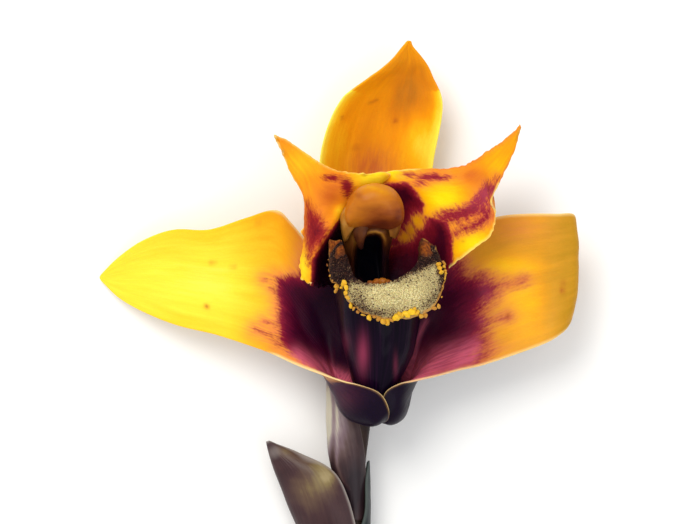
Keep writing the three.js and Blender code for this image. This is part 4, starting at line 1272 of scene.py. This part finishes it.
scape = round_stem(SCAPE_PATH, STEM_STEPS, STEM_SIDES, ribbed_outline)
scape_marks = {"tone": 0.4 + 0.2 * cloud(scape, 5, 18)}
scape_skin = fleshy_skin(
    "brown_flower_stalk",
    [(0, "221A1A"), (0.3, "3C2E28"), (0.6, "55453A"), (1, "6E6448")],
    speckle=0.3, stretch=(0.5, 6, 1), rough=0.5, coat=0.1, depth=0.4,
)
stand_for(closed_stem("scape_skin", scape, scape_marks, scape_skin), "scape")

# Bracts and sheaths
# Three dry leaves without blades: the bract wrapped round the ovary and two sheaths that clasp the
# stalk, each grown from a ring on it. Thin, brown-purple, finely ribbed, with clear pale margins.
BRACT_THICKNESS = 0.6
BRACT_GRID = (80, 44)
BRACT_SECTIONS = [
    [(3, -54.5, 7.4), (1.6, -54.5, 8.8), (0.2, -54.5, 8.6), (-1.1, -54.5, 6.4), (0.2, -54.5, 4.2),
     (2.2, -54.5, 4)],
    [(3.1, -49, 8.2), (1.4, -49, 9.8), (-0.8, -49, 9.4), (-2.2, -49, 7), (-0.8, -49, 4.6),
     (1.6, -49, 4.2)],
    [(3.2, -42, 9.2), (1.2, -42, 10.9), (-2.2, -42, 10.6), (-4, -42, 8), (-2.4, -42, 5), (1.4, -42, 4)],
    [(2, -34, 11.2), (-0.4, -34, 11.9), (-3.2, -34, 11), (-4.8, -34, 8), (-3.2, -34, 5), (1, -34, 3.8)],
    [(-0.4, -27, 10.4), (-3.2, -27, 9.4), (-4.8, -27, 7.4), (-3.4, -27, 4.8), (0.4, -27, 3.4)],
    [(-2.6, -22.6, 6.6), (-3.6, -22.4, 6), (-4.2, -22.4, 5), (-3.2, -22.4, 4), (-1.6, -22.6, 3.4)],
    [(-3, -20.4, 4.8), (-3.2, -20.3, 4.6), (-3.3, -20.3, 4.4), (-3.2, -20.3, 4.2), (-3, -20.4, 4)],
]
UPPER_SHEATH_SECTIONS = [
    [(-0.2, -66, 6.8), (1.6, -66, 7.6), (4.5, -66, 5.1), (2.6, -66, 2.1), (-0.2, -66, 2.7)],
    [(0.6, -60, 8), (2.4, -60, 8.3), (4.3, -60, 5.6), (2.6, -60, 3), (0.6, -60, 2.9)],
    [(3.1, -53, 9.2), (3.7, -53, 8.4), (4.1, -53, 6.6), (3.5, -53, 4), (2.5, -53, 2.8)],
    [(3.3, -46, 9.2), (3.7, -46, 8.6), (4, -46, 7.2), (3.8, -46, 5.2), (3.1, -46, 4.2)],
    [(3.7, -42.2, 7.7), (3.9, -42, 7.4), (4, -41.9, 7), (3.9, -42, 6.6), (3.7, -42.2, 6.2)],
]
LOWER_SHEATH_SECTIONS = [
    [(5.2, -80, 4.8), (3.2, -80, 6), (0, -80, 4.2), (0.7, -80, 1.1), (3.6, -80, 0.4)],
    [(5.4, -70, 7.4), (2.4, -70, 8.6), (-4.6, -70, 6), (-1, -70, 1.4), (3.4, -70, 0.7)],
    [(2.4, -60, 10.8), (-2.4, -60.4, 11), (-9, -60.6, 6.4), (-5, -60.4, 1.6), (0.6, -60, 0.9)],
    [(-0.2, -50, 11.6), (-6, -50.6, 12), (-13, -51, 7.4), (-9, -50.4, 3), (-3, -50, 1.8)],
    [(-3.4, -44, 11), (-9, -44.4, 11.4), (-15.5, -44.6, 8), (-11.4, -44, 4.4), (-6, -43.4, 3.4)],
    [(-9.8, -40.6, 9.6), (-13.4, -41, 9.8), (-16.7, -41, 8), (-14, -40.6, 6), (-11, -40.2, 5.6)],
    [(-17.1, -37.9, 8), (-17.3, -37.8, 8), (-17.5, -37.8, 7.8), (-17.4, -37.8, 7.6), (-17.2, -37.9, 7.6)],
]
# Where the bract and the lower sheath are lighter or darker: strength, centre, reach. The bract's
# highlight and lit left strip, the shadow at its foot and the sheath's highlight are painted. The
# bract's fold is a paler line, and the paler band along the sheath's brow is a painted sheen
BRACT_TONES = [
    (0.32, (-1.8, -34), (1.8, 8)), (0.9, (-4.2, -32), (1.7, 11.5)), (-0.2, (2.6, -36), (2, 12)),
    (-0.52, (0.4, -48), (5, 10)),
]
BRACT_FOLD = [(-2.6, -26), (-2.6, -42.5), (-1.6, -45.4), (0, -47.6)]
SHEATH_TONES = [
    (0.4, (-5.4, -45), (5, 5)), (0.42, (-8.4, -48), (6, 6)), (0.2, (-14, -39.6), (3, 2)),
]
SHEATH_BROW = [(-13, -39.9), (-9.8, -41), (-6.8, -42.6), (-4.6, -44.8)]


def sheath_skin(name, tones, rim, rough):
    """Skin of a bract: firm and smooth like parchment, with a rib every half millimetre.

    The ribs are drawn twice as far apart, to show. Its thin margins let the light through.
    """
    material, tree, skin, (tone, edge) = new_skin(name, "tone", "edge")
    place = add(tree, "ShaderNodeUVMap", {}, uv_map="UVMap")
    lengthwise = add(tree, "ShaderNodeMapping", {"Vector": place, "Scale": (0.05, 1, 1)})
    ribs = add(tree, "ShaderNodeTexNoise", {"Vector": lengthwise, "Scale": 1.2, "Detail": 4})
    clouds = add(tree, "ShaderNodeTexNoise", {"Vector": place, "Scale": 0.25, "Detail": 5})
    for pattern, share in ((clouds, 0.4), (ribs, 0.3)):
        tone = add(tree, "ShaderNodeMath", {0: pattern, 1: share, 2: tone}, operation="MULTIPLY_ADD")
    centred = add(tree, "ShaderNodeMath", {0: tone, 1: 0.35}, operation="SUBTRACT")
    hue = add(tree, "ShaderNodeValToRGB", {"Fac": centred}, tones)
    thin = add(
        tree,
        "ShaderNodeMapRange",
        {"Value": edge, "From Min": 0.1, "From Max": 1.1, "To Min": 0.8, "To Max": 0},
        interpolation_type="SMOOTHSTEP",
    )
    finish = {
        "Base Color": add(tree, "ShaderNodeMix", {0: thin, 6: hue, 7: colour(rim)}, data_type="RGBA"),
        "Normal": add(tree, "ShaderNodeBump", {"Height": ribs, "Strength": 0.5, "Distance": 0.25 * MM}),
        "Roughness": rough,
        "Specular IOR Level": 0.25,
        "Subsurface Weight": 0.15,
        "Subsurface Radius": (1.0, 0.7, 0.5),
        "Subsurface Scale": 0.6 * MM,
    }
    fill(tree, skin, finish)
    return material


bract = uneven(middle_surface(BRACT_SECTIONS, *BRACT_GRID), (0.15, 5, 19))
seen = as_seen(bract)
to_fold = distance_to(seen, BRACT_FOLD)
bract_marks = {
    # Painted highlight, lit strip and shadow at the foot among BRACT_TONES
    "tone": 0.42 + patches(seen, BRACT_TONES) + 0.25 * fading(to_fold, 0.35)
    - 0.25 * fading(to_fold - 0.9, 0.5) * (seen[..., 0] < -2.6),
    "edge": margin_distance(bract) + 0.6,
}
bract_skin = sheath_skin(
    "mauve_parchment_bract",
    [(0, "22161C"), (0.25, "3E2A2C"), (0.45, "5A4644"), (0.65, "776268"), (0.82, "948484"), (1, "BCB4A0")],
    rim="6A5850", rough=0.4,
)
bract_inside = sheath_skin(
    "mauve_parchment_bract_inside", [(0, "2E2226"), (0.5, "564644"), (1, "7C6E62")],
    rim="6A5850", rough=0.5,
)
stand_for(
    leaf("floral_bract_skin", bract, BRACT_THICKNESS, (-1, 0, 0), bract_marks, (bract_skin, bract_inside)),
    "floral_bract",
)

upper = uneven(middle_surface(UPPER_SHEATH_SECTIONS, *BRACT_GRID), (0.08, 4, 20))
upper_marks = {"tone": np.full(upper.shape[:2], 0.45), "edge": margin_distance(upper)}
upper_skin = sheath_skin(
    "grey_green_sheath", [(0, "050C10"), (0.4, "0A161C"), (0.7, "162226"), (1, "323C38")],
    rim="4E5652", rough=0.42,
)
stand_for(
    leaf("upper_sheath_skin", upper, BRACT_THICKNESS, (1, 0, 0), upper_marks, (upper_skin, upper_skin)),
    "scape_sheath_upper",
)

lower = uneven(middle_surface(LOWER_SHEATH_SECTIONS, *BRACT_GRID), (0.15, 6, 21))
seen = as_seen(lower)
lower_marks = {
    # A painted highlight among SHEATH_TONES, and a painted sheen along the brow
    "tone": 0.2 + patches(seen, SHEATH_TONES) + 0.3 * fading(distance_to(seen, SHEATH_BROW), 1.7),
    "edge": np.minimum(
        0.3 + margin_distance(lower) * (1 - 0.8 * patch(seen, (-9, -41.8), (8.4, 4))),
        0.7 + 1.1 * (1 - patch(seen, (-15.8, -40), (4, 4))),
    ),
}
lower_skin = sheath_skin(
    "brown_olive_sheath",
    [(0, "2A171C"), (0.3, "40282A"), (0.6, "5C4638"), (0.85, "7E6C46"), (1, "9A8962")],
    rim="A8A09A", rough=0.36,
)
lower_inside = sheath_skin(
    "brown_olive_sheath_inside", [(0, "2E2020"), (0.5, "54403A"), (1, "86745C")],
    rim="B4A894", rough=0.5,
)
stand_for(
    leaf("lower_sheath_skin", lower, BRACT_THICKNESS, (-1, 0, 0), lower_marks, (lower_skin, lower_inside)),
    "scape_sheath_lower",
)

# Table, light and camera
# A matt white table top, a large soft lamp above and a little behind the flower, a weaker one in
# front, and the camera straight above, as far off as keeps the near parts of the flower in scale.
# The table in metres, and the widths of the camera's sensor and of the picture in millimetres
TABLE_HALF_SIDE = 3.0
TABLE_GAP = 0.0002
SENSOR_WIDTH = 36
PICTURE_WIDTH = 147
bm = bmesh.new()
bmesh.ops.create_grid(bm, x_segments=1, y_segments=1, size=TABLE_HALF_SIDE)
bmesh.ops.translate(bm, verts=bm.verts, vec=(0, 0, -TABLE_GAP))
table_paint, tree, paint, _ = new_skin("matt_white_table")
fill(tree, paint, {"Base Color": colour("FBFBFA"), "Roughness": 0.9, "Specular IOR Level": 0.1})
finished("table", bm, [table_paint])

world = bpy.data.worlds.new("studio")
world.use_nodes = True
sky = world.node_tree.nodes["Background"]
fill(world.node_tree, sky, {"Color": colour("FFFFFF"), "Strength": 0.75})
bpy.context.scene.world = world
bpy.context.scene.view_settings.view_transform = "Standard"


def softbox(name, place, side, power, code):
    """A square lamp that looks at the flower's middle."""
    light = bpy.data.lights.new(name, "AREA")
    light.size = side
    light.energy = power
    light.color = colour(code)[:3]
    lamp = bpy.data.objects.new(name, light)
    lamp.location = place
    lamp.rotation_euler = (-Vector(place)).to_track_quat("-Z", "Y").to_euler()
    bpy.context.scene.collection.objects.link(lamp)


softbox("lamp_behind", (-0.25, 0.4, 0.75), 0.5, 4.5, "FFFCF6")
softbox("lamp_in_front", (0.35, -0.35, 0.8), 0.6, 1.6, "F8FAFF")

camera_data = bpy.data.cameras.new("camera")
camera_data.sensor_width = SENSOR_WIDTH
camera_data.lens = SENSOR_WIDTH * (EYE_HEIGHT - PICTURE_HEIGHT) / PICTURE_WIDTH
camera = bpy.data.objects.new("camera", camera_data)
camera.location = Vector(FLOWER_PLACE + (0, 0, EYE_HEIGHT)) * MM
bpy.context.scene.collection.objects.link(camera)
bpy.context.scene.camera = camera
